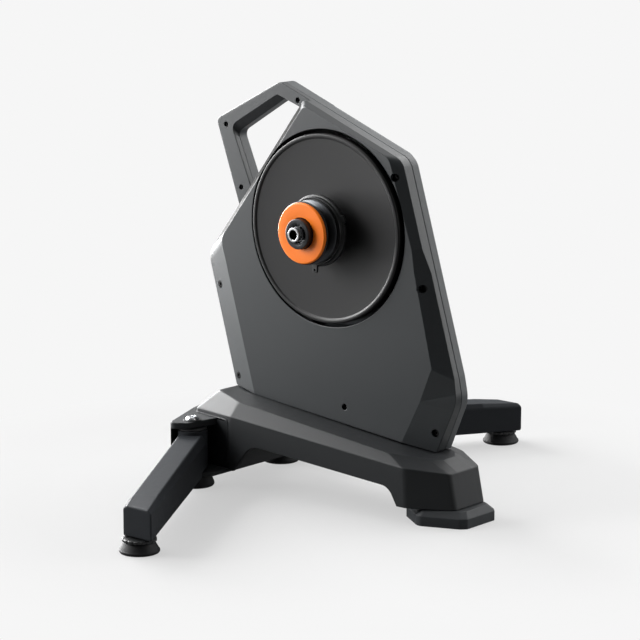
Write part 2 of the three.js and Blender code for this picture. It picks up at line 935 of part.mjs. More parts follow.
function rearFootSolid(side) {
  const { height, radius, topRadius } = rearFoot;
  const profile = [
    [0, 0], [radius * 0.96, 0], [radius, height * 0.12], [topRadius, height], [0, height],
  ];
  return turnedZ(profile, midSegments).translate([rearFoot.x, side * rearFoot.y, 0]);
}

const sides = [['drive', -1], ['idle', 1]];
for (const [label, side] of sides) {
  addPiece(`${label}_hinge_bolt`, hingeBolt(side), finishes.steel);
  addPiece(`${label}_upper_washer`, hingeWasher(side, slotTop - gap - hinge.washerThickness),
    finishes.blackPlastic);
  addPiece(`${label}_lower_washer`, hingeWasher(side, slotBottom + gap), finishes.blackPlastic);
  addPiece(`${label}_rear_foot`, rearFootSolid(side), finishes.rubber);
}

// Legs, drawn along +X from the hinge and turned into place

function legSection(s, top, shoulder, half, topHalf) {
  const points = [
    [-half, leg.bottom], [half, leg.bottom], [half, shoulder],
    [topHalf, top], [-topHalf, top], [-half, shoulder],
  ];
  return points.map(([y, z]) => new THREE.Vector3(s, y, z));
}

function legSolid(side) {
  const { reach, halfWidth, topHalfWidth, endOver, reliefReach, sectionShares, shoulders, tops } = leg;
  const high = tops[0] * 2;
  const bar = loft(sectionShares.map((share, i) => (
    legSection(share * reach + (i === 2 ? halfWidth : 0), tops[i], shoulders[i], halfWidth, topHalfWidth)
  )), (point) => new THREE.Vector2(point.y, point.z));

  // The outer end is cut square to the bike, not square to the leg.
  const cutter = box(0, reach, -reach, reach, 0, high)
    .rotate([0, 0, (90 - leg.spreadAngle) * side])
    .translate([reach + endOver, 0, 0]);
  const eye = rodZ(hinge.eyeRadius, 0, 0, legEyeBottom, legEyeTop, roundSegments);
  const bore = rodZ(hinge.pinRadius + runFit, 0, 0, 0, high, midSegments);
  const above = box(-reach, hinge.eyeRadius, -reach, reach, legEyeTop, high);
  const below = box(-reach, reliefReach, -reach, reach, 0, legEyeBottom);
  const studHole = rodZ(foot.studRadius + runFit, reach, 0, 0, leg.bottom + foot.studRise + gap,
    midSegments);
  return bar.subtract(cutter).subtract(above).subtract(below).add(eye).subtract(bore).subtract(studHole);
}

function footSolid() {
  const { radius, topRadius, height, grooveDepth, studRadius, studRise } = foot;
  const nutTop = leg.bottom;
  const profile = [
    [0, 0], [radius * 0.95, 0], [radius, height * 0.14], [radius - grooveDepth, height * 0.3],
    [topRadius, height], [studRadius, height], [studRadius, nutTop + studRise], [0, nutTop + studRise],
  ];
  return turnedZ(profile, midSegments);
}

function thumbNutSolid() {
  const fromZ = foot.height + gap;
  const toZ = fromZ + foot.nutThickness;
  let nut = ring(foot.nutRadius, foot.studRadius + runFit, fromZ, toZ);
  for (let i = 0; i < foot.nutGrooves; i += 1) {
    const angle = (i / foot.nutGrooves) * Math.PI * 2;
    const reach = foot.nutRadius + foot.nutGrooveRadius * 0.4;
    nut = nut.subtract(rodZ(foot.nutGrooveRadius, reach * Math.cos(angle), reach * Math.sin(angle),
      fromZ - cutOver, toZ + cutOver));
  }
  return nut;
}

const legGroups = { drive: driveLegGroup, idle: idleLegGroup };
for (const [label, side] of sides) {
  const group = legGroups[label];
  group.position.set(hinge.x, side * hinge.y, 0);
  group.rotation.z = THREE.MathUtils.degToRad(leg.spreadAngle) * side;
  addPiece(`${label}_leg`, legSolid(side), finishes.legs, group);
  const footMesh = addPiece(`${label}_leg_foot`, footSolid(), finishes.rubber, group);
  const nutMesh = addPiece(`${label}_leg_nut`, thumbNutSolid(), finishes.blackPlastic, group);
  footMesh.position.x = leg.reach;
  nutMesh.position.x = leg.reach;
}

// Frame plate, its bolts and the hub carrier

const flywheelX = housingX(flywheel.xShare);
const flywheelZ = housingZ(flywheel.zShare);
const flywheelRadius = flywheelZ - beamTopAt(flywheelX) - flywheel.beamClearance;
const plateBackY = framePlate.frontY + framePlate.thickness;

function framePlateSolid() {
  let plate = prismY(roundedOutline(framePlateOutline(0)), framePlate.frontY, plateBackY);
  const cutFrom = framePlate.frontY - cutOver;
  const cutTo = plateBackY + cutOver;
  plate = plate.subtract(rodY(framePlate.boreRadius, 0, axleHeight, cutFrom, cutTo, midSegments));
  plate = plate.subtract(rodY(flywheel.bearingRadius + gap, flywheelX, flywheelZ, cutFrom, cutTo,
    midSegments));
  for (const share of framePlate.windowShares) {
    const [x, z] = housingPoint(share);
    plate = plate.subtract(rodY(framePlate.windowRadius, x, z, cutFrom, cutTo, midSegments));
  }
  for (const [x, z] of frameBoltPlaces()) {
    plate = plate.subtract(rodY(frameBolt.radius + runFit, x, z, cutFrom, cutTo));
  }
  return board.postShares.map(housingPoint).reduce((sum, [x, z]) => (
    sum.add(rodY(board.postRadius, x, z, framePlate.frontY, plateBackY + board.postHeight - gap))
  ), plate);
}

addPiece('frame_plate', framePlateSolid(), finishes.darkSteel);

frameBoltPlaces().forEach(([x, z], i) => {
  const headTo = plateSlot.frontY - beam.wall * 2 - gap;
  const boltEnd = plateSlot.backY + beam.wall * 2;
  const head = rodY(frameBolt.headRadius, x, z, headTo - frameBolt.headHeight, headTo, 6);
  const shank = rodY(frameBolt.radius, x, z, headTo - frameBolt.headHeight / 2, boltEnd);
  addPiece(`frame_bolt_${i + 1}`, head.add(shank), finishes.steel);
});

function hubCarrierSolid() {
  const fromY = plateBackY + gap;
  const flangeTo = fromY + hubCarrier.flangeThickness;
  const bore = axle.radius + runFit;
  let carrier = turnedY([
    [bore, fromY], [hubCarrier.flangeRadius, fromY], [hubCarrier.flangeRadius, flangeTo],
    [hubCarrier.tubeRadius, flangeTo + hubCarrier.flangeThickness / 2],
    [hubCarrier.tubeRadius, axle.idleEnd - gap], [bore, axle.idleEnd - gap],
  ], axleHeight);
  for (let i = 0; i < hubCarrier.boltHoles; i += 1) {
    const angle = (i / hubCarrier.boltHoles) * Math.PI * 2 + Math.PI / 2;
    const x = hubCarrier.boltCircleRadius * Math.cos(angle);
    const z = axleHeight + hubCarrier.boltCircleRadius * Math.sin(angle);
    carrier = carrier.subtract(rodY(hubCarrier.boltHoleRadius, x, z, fromY - cutOver,
      flangeTo + hubCarrier.flangeThickness));
  }
  return carrier;
}

addPiece('hub_carrier', hubCarrierSolid(), finishes.castIron);

// Main axle and its end caps

addPiece('axle_tube', turnedY([
  [axle.boreRadius, axle.driveEnd], [axle.radius, axle.driveEnd],
  [axle.radius, axle.idleEnd], [axle.boreRadius, axle.idleEnd],
], axleHeight, midSegments), finishes.steel);

function endCap(side, end, collarRadius) {
  const inner = side * (Math.abs(end) + gap);
  const face = side * axle.dropoutFace;
  const collar = side * (Math.abs(end) + gap + axle.capLip);
  return turnedY([
    [axle.boreRadius, face], [axle.capRadius - axle.capLip / 4, face],
    [axle.capRadius, face - side * axle.capLip / 4],
    [axle.capRadius, collar], [collarRadius, collar], [collarRadius, inner], [axle.boreRadius, inner],
  ], axleHeight, midSegments);
}

addPiece('drive_end_cap', endCap(-1, axle.driveEnd, axle.capRadius + gap), finishes.steel);
addPiece('idle_end_cap', endCap(1, axle.idleEnd, hubCarrier.tubeRadius), finishes.steel);

// Belt disc: the big wheel that shows through the drive side shell

function beltDisc() {
  const { frontY, backY, beltFrontY, web, rimLip, lipDepth } = pulley;
  const faceY = frontY + lipDepth;
  const dishY = faceY + pulley.dish;
  const bearingSeat = bearing.outerRadius + runFit;
  const rimBack = beltFrontY - gap;
  const profile = [
    [axle.radius + gap * 3, pulley.hubFrontY],
    [pulley.hubRadius, pulley.hubFrontY],
    [pulley.hubRadius + web, dishY],
    [rimRadius - rimLip * 2, faceY],
    [rimRadius - rimLip * 1.4, frontY],
    [rimRadius - rimLip * 0.3, frontY],
    [rimRadius, frontY + lipDepth],
    [rimRadius, rimBack],
    [beltRadius, rimBack],
    [beltRadius, backY],
    [beltRadius - web, backY],
    [beltRadius - web, faceY + web],
    [pulley.hubRadius + web, dishY + web],
    [pulley.hubRadius, backY],
    [bearingSeat, backY],
    [bearingSeat, backY - bearing.width - gap],
    [axle.radius + gap * 3, backY - bearing.width - gap],
  ];
  return turnedY(profile, axleHeight, discSegments);
}

addPiece('belt_disc', beltDisc(), finishes.disc);

function bearingRing(outer, fromY, width, z) {
  const bore = axle.radius + runFit;
  return turnedY([
    [bore, fromY], [outer, fromY], [outer, fromY + width], [bore, fromY + width],
  ], z, midSegments);
}

addPiece('disc_bearing', bearingRing(bearing.outerRadius, pulley.backY - bearing.width, bearing.width,
  axleHeight), finishes.steel);

// Freehub body with its splines

function freehubSolid() {
  const { radius, splineDepth, splines, frontY, shoulderY, shoulderRadius, backY } = freehub;
  const points = [];
  for (let i = 0; i < splines; i += 1) {
    const step = (Math.PI * 2) / splines;
    for (const [share, r] of [[0, radius], [0.5, radius], [0.56, radius - splineDepth],
      [0.94, radius - splineDepth]]) {
      const angle = (i + share) * step;
      points.push(new THREE.Vector2(r * Math.cos(angle), axleHeight + r * Math.sin(angle)));
    }
  }
  const splined = prismY(points, frontY, shoulderY);
  const shoulder = rodY(shoulderRadius, 0, axleHeight, shoulderY, backY, midSegments);
  const bore = rodY(axle.radius + gap * 3, 0, axleHeight, frontY - cutOver, backY + cutOver,
    midSegments);
  const seatTo = frontY + bearing.smallWidth + gap;
  const seat = rodY(bearing.smallOuterRadius + runFit, 0, axleHeight, frontY - cutOver, seatTo,
    midSegments);
  return splined.add(shoulder).subtract(bore).subtract(seat);
}

addPiece('freehub_body', freehubSolid(), finishes.darkSteel);
addPiece('freehub_bearing', bearingRing(bearing.smallOuterRadius, freehub.frontY, bearing.smallWidth,
  axleHeight), finishes.steel);

// The single cog with its two guards on a sleeve

function cogSolid() {
  const pitchRadius = cog.pitch / (2 * Math.sin(Math.PI / cog.teeth));
  const outerRadius = pitchRadius + cog.tipHeight;
  const step = (Math.PI * 2) / cog.teeth;
  const points = [];
  for (let i = 0; i < cog.teeth; i += 1) {
    const middle = i * step;
    const centre = new THREE.Vector2(pitchRadius * Math.cos(middle), pitchRadius * Math.sin(middle));
    for (let k = -3; k <= 3; k += 1) {
      const angle = middle + Math.PI - k * 0.36;
      points.push(new THREE.Vector2(
        centre.x + cog.rollerRadius * Math.cos(angle),
        axleHeight + centre.y + cog.rollerRadius * Math.sin(angle),
      ));
    }
    for (const share of [0.42, 0.58]) {
      const angle = middle + share * step;
      points.push(new THREE.Vector2(outerRadius * Math.cos(angle),
        axleHeight + outerRadius * Math.sin(angle)));
    }
  }
  const blank = prismY(points, cog.y - cog.thickness / 2, cog.y + cog.thickness / 2);
  return blank.subtract(rodY(sleeve.radius + gap, 0, axleHeight, cog.y - cog.thickness,
    cog.y + cog.thickness, roundSegments));
}

function turnedPiece(profile) {
  return turnedY(profile, axleHeight);
}

const sleeveBore = freehub.radius + gap;
addPiece('cog', cogSolid(), finishes.darkSteel);
addPiece('cog_sleeve', turnedPiece([
  [sleeveBore, sleeve.frontY], [sleeve.radius, sleeve.frontY],
  [sleeve.radius, sleeve.backY], [sleeveBore, sleeve.backY],
]), finishes.blackPlastic);

const coverBack = guard.faceY + guard.coverThickness;
addPiece('guard_cover', turnedPiece([
  [guard.holeRadius, guard.faceY], [guard.radius - guard.edge, guard.faceY],
  [guard.radius, guard.faceY + guard.edge], [guard.radius, coverBack], [guard.holeRadius, coverBack],
]), finishes.orange);
const outerDiscFront = coverBack + gap;
addPiece('outer_guard', turnedPiece([
  [sleeve.radius + gap, outerDiscFront], [guard.rimRadius, outerDiscFront],
  [guard.rimRadius, guard.backY - guard.edge], [guard.rimRadius - guard.edge * 3, guard.backY],
  [sleeve.radius + gap, guard.backY],
]), finishes.blackPlastic);
addPiece('inner_guard', turnedPiece([
  [sleeve.radius + gap, guard.innerFrontY], [guard.innerRadius - guard.innerCone * 2, guard.innerFrontY],
  [guard.innerRadius, guard.innerFrontY + guard.innerCone], [guard.innerRadius, guard.innerBackY],
  [sleeve.radius + gap, guard.innerBackY],
]), finishes.blackPlastic);

// Click ring that shifts the cog in or out for the chain line

function adjusterSolid() {
  const { radius, flangeRadius, frontY, flangeY, backY } = adjuster;
  const bore = sleeve.radius + gap;
  let solid = turnedPiece([
    [bore, frontY], [radius - guard.edge, frontY], [radius, frontY + guard.edge], [radius, flangeY],
    [flangeRadius, flangeY], [flangeRadius, backY], [bore, backY],
  ]);
  const reach = flangeRadius + adjuster.lobeReach;
  const lobe = box(0, reach, -backY, -flangeY, -adjuster.lobeWidth / 2, adjuster.lobeWidth / 2)
    .translate([0, backY + flangeY, 0])
    .rotate([0, -adjuster.lobeAngle, 0])
    .translate([0, 0, axleHeight]);
  const tabDrop = radius + adjuster.tabReach;
  const tab = box(-adjuster.tabWidth / 2, adjuster.tabWidth / 2, frontY + guard.edge, flangeY, -tabDrop, 0)
    .translate([0, 0, axleHeight]);
  const hole = rodY(adjuster.tabHoleRadius, 0, axleHeight - tabDrop + adjuster.tabWidth / 2,
    frontY - cutOver, backY + cutOver);
  const clear = rodY(bore, 0, axleHeight, frontY - cutOver, backY + cutOver, roundSegments);
  solid = solid.add(lobe).add(tab).subtract(hole).subtract(clear);
  return solid;
}

addPiece('adjuster_ring', adjusterSolid(), finishes.blackPlastic);

function lockringSolid() {
  const { radius, faceY, backY, toolRadius, toolToothDepth, toolTeeth } = lockring;
  const body = turnedPiece([
    [toolRadius, faceY], [radius - guard.edge, faceY], [radius, faceY + guard.edge],
    [radius, backY], [toolRadius, backY],
  ]);
  let solid = body;
  for (let i = 0; i < toolTeeth; i += 1) {
    const angle = (i / toolTeeth) * 360;
    const tooth = box(toolRadius - toolToothDepth, toolRadius + gap * 2, faceY + guard.edge, backY,
      -toolToothDepth / 2, toolToothDepth / 2)
      .rotate([0, angle, 0]).translate([0, 0, axleHeight]);
    solid = solid.add(tooth);
  }
  return solid;
}

addPiece('lockring', lockringSolid(), finishes.darkSteel);

// Flywheel, its shaft, bearings and small pulley

const beltTopRadius = flywheel.pulleyRadius;
const wheelFromY = plateBackY + flywheel.web / 2 + gap;

function flywheelPlace(solid) {
  return solid.translate([flywheelX, 0, flywheelZ]);
}

function flywheelSolid() {
  const { rimWidth, width, web, hubRadius, shaftRadius } = flywheel;
  const radius = flywheelRadius;
  const toY = wheelFromY + width;
  const webFrom = wheelFromY + (width - web) / 2;
  const rimInner = radius - rimWidth;
  return turnedY([
    [shaftRadius + runFit, wheelFromY], [hubRadius, wheelFromY], [hubRadius, webFrom],
    [rimInner, webFrom], [rimInner, wheelFromY], [radius, wheelFromY], [radius, toY],
    [rimInner, toY], [rimInner, webFrom + web], [hubRadius, webFrom + web], [hubRadius, toY],
    [shaftRadius + runFit, toY],
  ]);
}

const shaftFromY = pulley.beltFrontY - gap;
const shaftToY = wheelFromY + flywheel.width;
addPiece('flywheel', flywheelPlace(flywheelSolid()), finishes.castIron);
addPiece('flywheel_shaft', flywheelPlace(turnedY([
  [0, shaftFromY], [flywheel.shaftRadius, shaftFromY], [flywheel.shaftRadius, shaftToY], [0, shaftToY],
], 0, midSegments)), finishes.steel);
addPiece('shaft_bearing', flywheelPlace(turnedY([
  [flywheel.shaftRadius + runFit, framePlate.frontY], [flywheel.bearingRadius, framePlate.frontY],
  [flywheel.bearingRadius, plateBackY], [flywheel.shaftRadius + runFit, plateBackY],
], 0, midSegments)), finishes.steel);

function smallPulleySolid() {
  const bore = flywheel.shaftRadius + runFit;
  return turnedY([
    [bore, pulley.beltFrontY], [beltTopRadius, pulley.beltFrontY],
    [beltTopRadius, pulley.backY], [bore, pulley.backY],
  ], 0, midSegments);
}

addPiece('small_pulley', flywheelPlace(smallPulleySolid()), finishes.darkSteel);

// Belt: the outer tangents of two circles with their arcs, as one loop

function beltPath(grow) {
  const big = beltRadius + belt.clearance + grow;
  const small = beltTopRadius + belt.clearance + grow;
  const [dx, dz] = [flywheelX, flywheelZ - axleHeight];
  const distance = Math.hypot(dx, dz);
  const heading = Math.atan2(dz, dx);
  const spread = Math.acos((big - small) / distance);
  const points = [];
  const bigSteps = roundSegments;
  for (let i = 0; i <= bigSteps; i += 1) {
    const angle = heading + spread + (i / bigSteps) * (Math.PI * 2 - 2 * spread);
    points.push(new THREE.Vector2(big * Math.cos(angle), axleHeight + big * Math.sin(angle)));
  }
  const smallSteps = smallSegments;
  for (let i = 0; i <= smallSteps; i += 1) {
    const angle = heading - spread + (i / smallSteps) * 2 * spread;
    points.push(new THREE.Vector2(flywheelX + small * Math.cos(angle),
      flywheelZ + small * Math.sin(angle)));
  }
  return points;
}

const beltFromY = (pulley.beltFrontY + pulley.backY - belt.width) / 2;
addPiece('drive_belt', prismY(beltPath(belt.thickness), beltFromY, beltFromY + belt.width,
  [beltPath(0).reverse()]), finishes.rubber);

// Belt tensioner: a roller on an arm that presses the belt's back

function idlerPlace() {
  const along = Math.hypot(flywheelX, flywheelZ - axleHeight) * 0.5;
  const heading = Math.atan2(flywheelZ - axleHeight, flywheelX);
  const spread = Math.acos((beltRadius - beltTopRadius) / Math.hypot(flywheelX, flywheelZ - axleHeight));
  const side = heading - spread;
  const startX = beltRadius * Math.cos(side);
  const startZ = beltRadius * Math.sin(side);
  const offset = belt.thickness + belt.clearance + gap + idler.radius;
  const down = new THREE.Vector2(flywheelX + beltTopRadius * Math.cos(side) - startX,
    flywheelZ - axleHeight + beltTopRadius * Math.sin(side) - startZ).normalize();
  return [
    startX + down.x * along + offset * Math.cos(side),
    axleHeight + startZ + down.y * along + offset * Math.sin(side),
    side,
  ];
}

const [idlerX, idlerZ, idlerSide] = idlerPlace();
const idlerBore = idler.pinRadius + runFit;
addPiece('tension_roller', turnedY([
  [idlerBore, beltFromY], [idler.radius, beltFromY],
  [idler.radius, beltFromY + belt.width], [idlerBore, beltFromY + belt.width],
], 0, midSegments).translate([idlerX, 0, idlerZ]), finishes.darkSteel);

function tensionArm() {
  const half = idler.armWidth / 2;
  const end = idler.armShare * Math.hypot(flywheelX, flywheelZ - axleHeight) + half;
  const outline = roundedOutline([
    [-half, -half, half], [end, -half, half], [end, half, half], [-half, half, half],
  ], cornerSteps * 2);
  const armTo = framePlate.frontY - gap;
  const armFrom = armTo - idler.armThickness / 4;
  const bar = prismY(outline, armFrom, armTo);
  const pin = rodY(idler.pinRadius, 0, 0, beltFromY, armTo);
  return bar.add(pin).rotate([0, -THREE.MathUtils.radToDeg(idlerSide) + idler.angle, 0])
    .translate([idlerX, 0, idlerZ]);
}

addPiece('tension_arm', tensionArm(), finishes.steel);

// Brake cores beside the flywheel's rim, the circuit board and the power inlet

brake.angles.forEach((degrees, i) => {
  const angle = THREE.MathUtils.degToRad(degrees);
  const reach = flywheelRadius + brake.standOff + brake.coreDepth / 2;
  const fromY = plateBackY + gap;
  const body = box(-brake.coreDepth / 2, brake.coreDepth / 2, fromY, fromY + brake.thickness,
    -brake.coreLength / 2, brake.coreLength / 2)
    .rotate([0, -degrees, 0])
    .translate([flywheelX + reach * Math.cos(angle), 0, flywheelZ + reach * Math.sin(angle)]);
  const wheel = flywheelPlace(rodY(flywheelRadius + brake.standOff, 0, 0, fromY - cutOver,
    fromY + brake.thickness + cutOver, roundSegments));
  addPiece(`brake_coil_${i + 1}`, body.subtract(wheel), finishes.copper);
});

function boardSolid() {
  const [x, z] = housingPoint([board.xShare, board.zShare]);
  const fromY = plateBackY + board.postHeight;
  return box(x - board.length / 2, x + board.length / 2, fromY, fromY + board.thickness,
    z - board.width / 2, z + board.width / 2);
}

addPiece('circuit_board', boardSolid(), finishes.board);

function inletSolid() {
  const outside = housing.seamY + housing.idleDepth + gap * 2;
  const inside = outside - inlet.depth;
  const profile = [
    [0, inside], [inlet.radius, inside], [inlet.radius, outside],
    [inlet.flangeRadius, outside], [inlet.flangeRadius, outside + inlet.boreRadius / 2],
    [inlet.boreRadius, outside + inlet.boreRadius / 2], [inlet.boreRadius, inside + inlet.boreRadius],
    [0, inside + inlet.boreRadius],
  ];
  return turnedY(profile, housingZ(inlet.zShare), smallSegments)
    .translate([housingX(inlet.xShare), 0, 0]);
}

addPiece('power_inlet', inletSolid(), finishes.blackPlastic);

// The origin goes under the middle of the box.
const whole = new THREE.Box3().setFromObject(trainer, true);
const middle = whole.getCenter(new THREE.Vector3());
trainer.position.set(-middle.x, -middle.y, -whole.min.z);

export default trainer;
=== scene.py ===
import json
import math

import bpy
import numpy as np
from mathutils import Matrix, Vector


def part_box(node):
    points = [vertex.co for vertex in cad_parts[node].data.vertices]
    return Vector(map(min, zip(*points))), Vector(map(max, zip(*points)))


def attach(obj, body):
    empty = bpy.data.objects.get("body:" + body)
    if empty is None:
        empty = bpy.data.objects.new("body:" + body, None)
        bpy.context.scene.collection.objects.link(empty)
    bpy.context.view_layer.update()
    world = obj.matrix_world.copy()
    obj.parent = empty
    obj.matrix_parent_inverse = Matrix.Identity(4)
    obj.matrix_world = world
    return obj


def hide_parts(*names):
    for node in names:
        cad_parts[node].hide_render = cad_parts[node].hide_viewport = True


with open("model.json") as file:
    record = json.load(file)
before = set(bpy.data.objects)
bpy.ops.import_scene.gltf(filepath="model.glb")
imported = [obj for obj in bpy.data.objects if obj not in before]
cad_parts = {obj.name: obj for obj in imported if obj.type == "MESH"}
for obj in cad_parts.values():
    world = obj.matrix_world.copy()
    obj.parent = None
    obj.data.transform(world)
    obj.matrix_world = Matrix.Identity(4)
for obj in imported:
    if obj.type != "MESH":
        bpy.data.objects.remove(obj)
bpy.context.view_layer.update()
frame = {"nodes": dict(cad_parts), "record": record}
nodes = frame["nodes"]

axleLow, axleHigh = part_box("axle_tube")
originX = (axleLow.x + axleHigh.x) * 500  # the axle's place in the frame, in mm
axleZ = (axleLow.z + axleHigh.z) * 500
print("frame loaded")


def unit(v):
    return v / np.linalg.norm(v, axis=-1, keepdims=True)


# Rounds the corners of a line: each corner becomes a quadratic curve (1-t)^2 A + 2t(1-t) P + t^2 B,
# where A and B lie on the two sides, the tangent length r / tan(half angle) away from the corner P.
def rounded(points, radii, steps=6, closed=True, least=0.05):
    p = np.asarray(points, float)
    r = np.broadcast_to(np.asarray(radii, float), p.shape[:-1])
    before, after = np.roll(p, 1, -2) - p, np.roll(p, -1, -2) - p
    lengthBefore, lengthAfter = np.linalg.norm(before, axis=-1), np.linalg.norm(after, axis=-1)
    cosine = np.clip((before * after).sum(-1) / (lengthBefore * lengthAfter + 1e-9), -1, 1)
    half = np.clip(np.arccos(cosine) / 2, 0.02, math.pi / 2 - 1e-4)
    tangent = np.clip(r / np.tan(half), least, 0.46 * np.minimum(lengthBefore, lengthAfter))[..., None]
    a, b = p + unit(before + 1e-12) * tangent, p + unit(after + 1e-12) * tangent
    t = np.linspace(0, 1, steps + 1)[:, None]
    curve = (1 - t) ** 2 * a[..., None, :] + 2 * t * (1 - t) * p[..., None, :] + t**2 * b[..., None, :]
    if closed:
        return curve.reshape(*p.shape[:-2], -1, p.shape[-1])
    inner = curve[..., 1:-1, :, :].reshape(*p.shape[:-2], -1, p.shape[-1])
    return np.concatenate([p[..., :1, :], inner, p[..., -1:, :]], axis=-2)


# Moves every side of a closed outline inwards by a distance: each corner goes to where its moved sides meet.
def inset(points, distance):
    p = np.asarray(points, float)
    nxt = np.roll(p, -1, 0)
    area = ((p[:, 0] * nxt[:, 1]) - (nxt[:, 0] * p[:, 1])).sum()
    along = unit(nxt[:, :2] - p[:, :2])
    normal = np.stack([-along[:, 1], along[:, 0]], 1) * np.sign(area)
    one, two = np.roll(normal, 1, 0), normal
    push = (one + two) / (1 + (one * two).sum(1, keepdims=True))
    moved = p.copy()
    moved[:, :2] += push * distance
    return moved


def volumeOf(verts, faces):
    total = 0.0
    for face in faces:
        corner = verts[face]
        total += np.einsum("ij,ij->", np.cross(corner[1:-1], corner[2:]), corner[:1].repeat(len(face) - 2, 0))
    return total


# A mesh object from points in mm, with its faces turned outwards.
def makeMesh(name, verts, faces):
    verts = np.asarray(verts, float)
    faces = [list(map(int, face)) for face in faces]
    if volumeOf(verts, faces) < 0:
        faces = [face[::-1] for face in faces]
    mesh = bpy.data.meshes.new(name)
    mesh.from_pydata(((verts + [originX, 0, 0]) / 1000).tolist(), [], faces)
    mesh.validate()
    piece = bpy.data.objects.new(name, mesh)
    bpy.context.scene.collection.objects.link(piece)
    return piece


# Quads between neighbouring lines of a grid of points, which closes on itself along its first side.
def gridFaces(count, lines, closeLines=False):
    i, j = np.meshgrid(np.arange(count), np.arange(lines if closeLines else lines - 1), indexing="ij")
    ahead, above = (i + 1) % count, (j + 1) % lines
    return np.stack([i * lines + j, ahead * lines + j, ahead * lines + above, i * lines + above], -1).reshape(-1, 4)


# A closed skin: sections is one line of points for each point round the outline, capped at both ends.
def skin(name, sections):
    count, lines = sections.shape[:2]
    faces = gridFaces(count, lines).tolist()
    ends = [list(range(0, count * lines, lines)), list(range(lines - 1, count * lines, lines))]
    return makeMesh(name, sections.reshape(-1, 3), faces + [ends[0][::-1], ends[1]])


# Rings of matching points become a skin whose edges from ring to ring are rounded by edgeRadii.
def loft(name, rings, edgeRadii, steps=4):
    sections = np.stack(rings, 1)
    return skin(name, rounded(sections, np.asarray(edgeRadii, float), steps, closed=False))


# An outline of two coordinates carried along a third, with rounded rims of edge = (low, high) mm.
# axis 1 carries (x, z) along y, and axis 2 carries (x, y) along z. A flared one widens at its ends.
def prism(name, corners, radii, low, high, axis, edge=(1.0, 1.0), steps=6, edgeSteps=3, flare=False):
    corners = np.asarray(corners, float)
    radii = np.broadcast_to(np.asarray(radii, float), len(corners))
    sign, over = (-1, 0.02) if flare else (1, 0.0)

    def ring(shift, level):
        flat = rounded(inset(corners, sign * shift), np.maximum(radii - sign * shift, 0.2), steps)
        return np.insert(flat, axis, level, axis=1)

    rings = [ring(edge[0] * 2.2, low - over), ring(0, low - over), ring(0, high + over), ring(edge[1] * 2.2, high + over)]
    return loft(name, rings, [0, edge[0], edge[1], 0], edgeSteps)


# A round bar along a path: each point carries a circle r (cos a * side + sin a * up) square to the path.
def tube(name, path, radius, segments=12):
    line = np.asarray(path, float)
    ahead = unit(np.gradient(line, axis=0))
    side = unit(np.cross(ahead, [0.3, 0.2, 0.93]))
    up = np.cross(side, ahead)
    angle = np.linspace(0, 2 * math.pi, segments, endpoint=False)[:, None, None]
    points = line + radius * (np.cos(angle) * side + np.sin(angle) * up)
    return skin(name, points)


# A profile of (radius, height, rounding) turned round an axis: point = centre + radius * (cos, sin) + height.
# A profile that starts and ends on the axis is closed by poles, and any other closes on itself.
def turned(name, profile, centre, axis=1, segments=96, steps=3, closed=None):
    profile = np.asarray(profile, float)
    closed = profile[0, 0] > 1e-6 if closed is None else closed
    line = rounded(profile[:, :2], profile[:, 2], steps, closed)
    angle = np.linspace(0, 2 * math.pi, segments, endpoint=False)[:, None]
    first, second, height = line[:, 0] * np.cos(angle), line[:, 0] * np.sin(angle), np.broadcast_to(line[:, 1],
        (segments, len(line)))
    stacked = [first, height, second] if axis == 1 else [first, second, height]
    points = np.stack(stacked, -1) + np.asarray(centre, float)
    if closed:
        return makeMesh(name, points.reshape(-1, 3), gridFaces(segments, len(line), True).tolist())
    inner = points[:, 1:-1]
    lines = inner.shape[1]
    verts = np.concatenate([inner.reshape(-1, 3), points[:1, 0], points[:1, -1]])
    here = np.arange(segments)
    ahead = (here + 1) % segments
    low, high = segments * lines, segments * lines + 1
    poleLow = np.stack([np.full(segments, low), ahead * lines, here * lines], 1).tolist()
    poleHigh = np.stack([np.full(segments, high), here * lines + lines - 1, ahead * lines + lines - 1], 1).tolist()
    return makeMesh(name, verts, gridFaces(segments, lines).tolist() + poleLow + poleHigh)


# A square-edged block between two corners.
def block(name, low, high):
    low, high = np.asarray(low, float), np.asarray(high, float)
    x, y, z = [low[0], high[0]], [low[1], high[1]], [low[2], high[2]]
    verts = [[x[i], y[j], z[k]] for i in (0, 1) for j in (0, 1) for k in (0, 1)]
    faces = [[0, 1, 3, 2], [4, 6, 7, 5], [0, 4, 5, 1], [2, 3, 7, 6], [0, 2, 6, 4], [1, 5, 7, 3]]
    return makeMesh(name, verts, faces)


def combine(piece, tools, operation="DIFFERENCE"):
    for tool in tools:
        step = piece.modifiers.new("combine", "BOOLEAN")
        step.operation, step.object, step.solver = operation, tool, "EXACT"
        graph = bpy.context.evaluated_depsgraph_get()
        made = bpy.data.meshes.new_from_object(piece.evaluated_get(graph))
        old = piece.data
        piece.modifiers.clear()
        piece.data = made
        bpy.data.meshes.remove(old)
        bpy.data.objects.remove(tool)
    return piece


def mirrored(piece, name):
    twin = bpy.data.objects.new(name, piece.data.copy())
    bpy.context.scene.collection.objects.link(twin)
    count = len(twin.data.vertices)
    co = np.empty(count * 3, np.float32)
    twin.data.vertices.foreach_get("co", co)
    co[1::3] *= -1
    twin.data.vertices.foreach_set("co", co)
    twin.data.flip_normals()
    return twin


# Faces whose middle lies between two distances from the axle, and behind a y, take a second material, which here paints
# shade into hollows.
def lineFaces(piece, material, low, high, behind):
    mesh = piece.data
    mesh.materials.append(material)
    middle = np.empty(len(mesh.polygons) * 3, np.float32)
    mesh.polygons.foreach_get("center", middle)
    middle = middle.reshape(-1, 3) * 1000 - [originX, 0, axleZ]
    apart = np.hypot(middle[:, 0], middle[:, 2])
    chosen = (apart > low) & (apart < high) & (middle[:, 1] > behind)
    mesh.polygons.foreach_set("material_index", chosen.astype(np.int32))


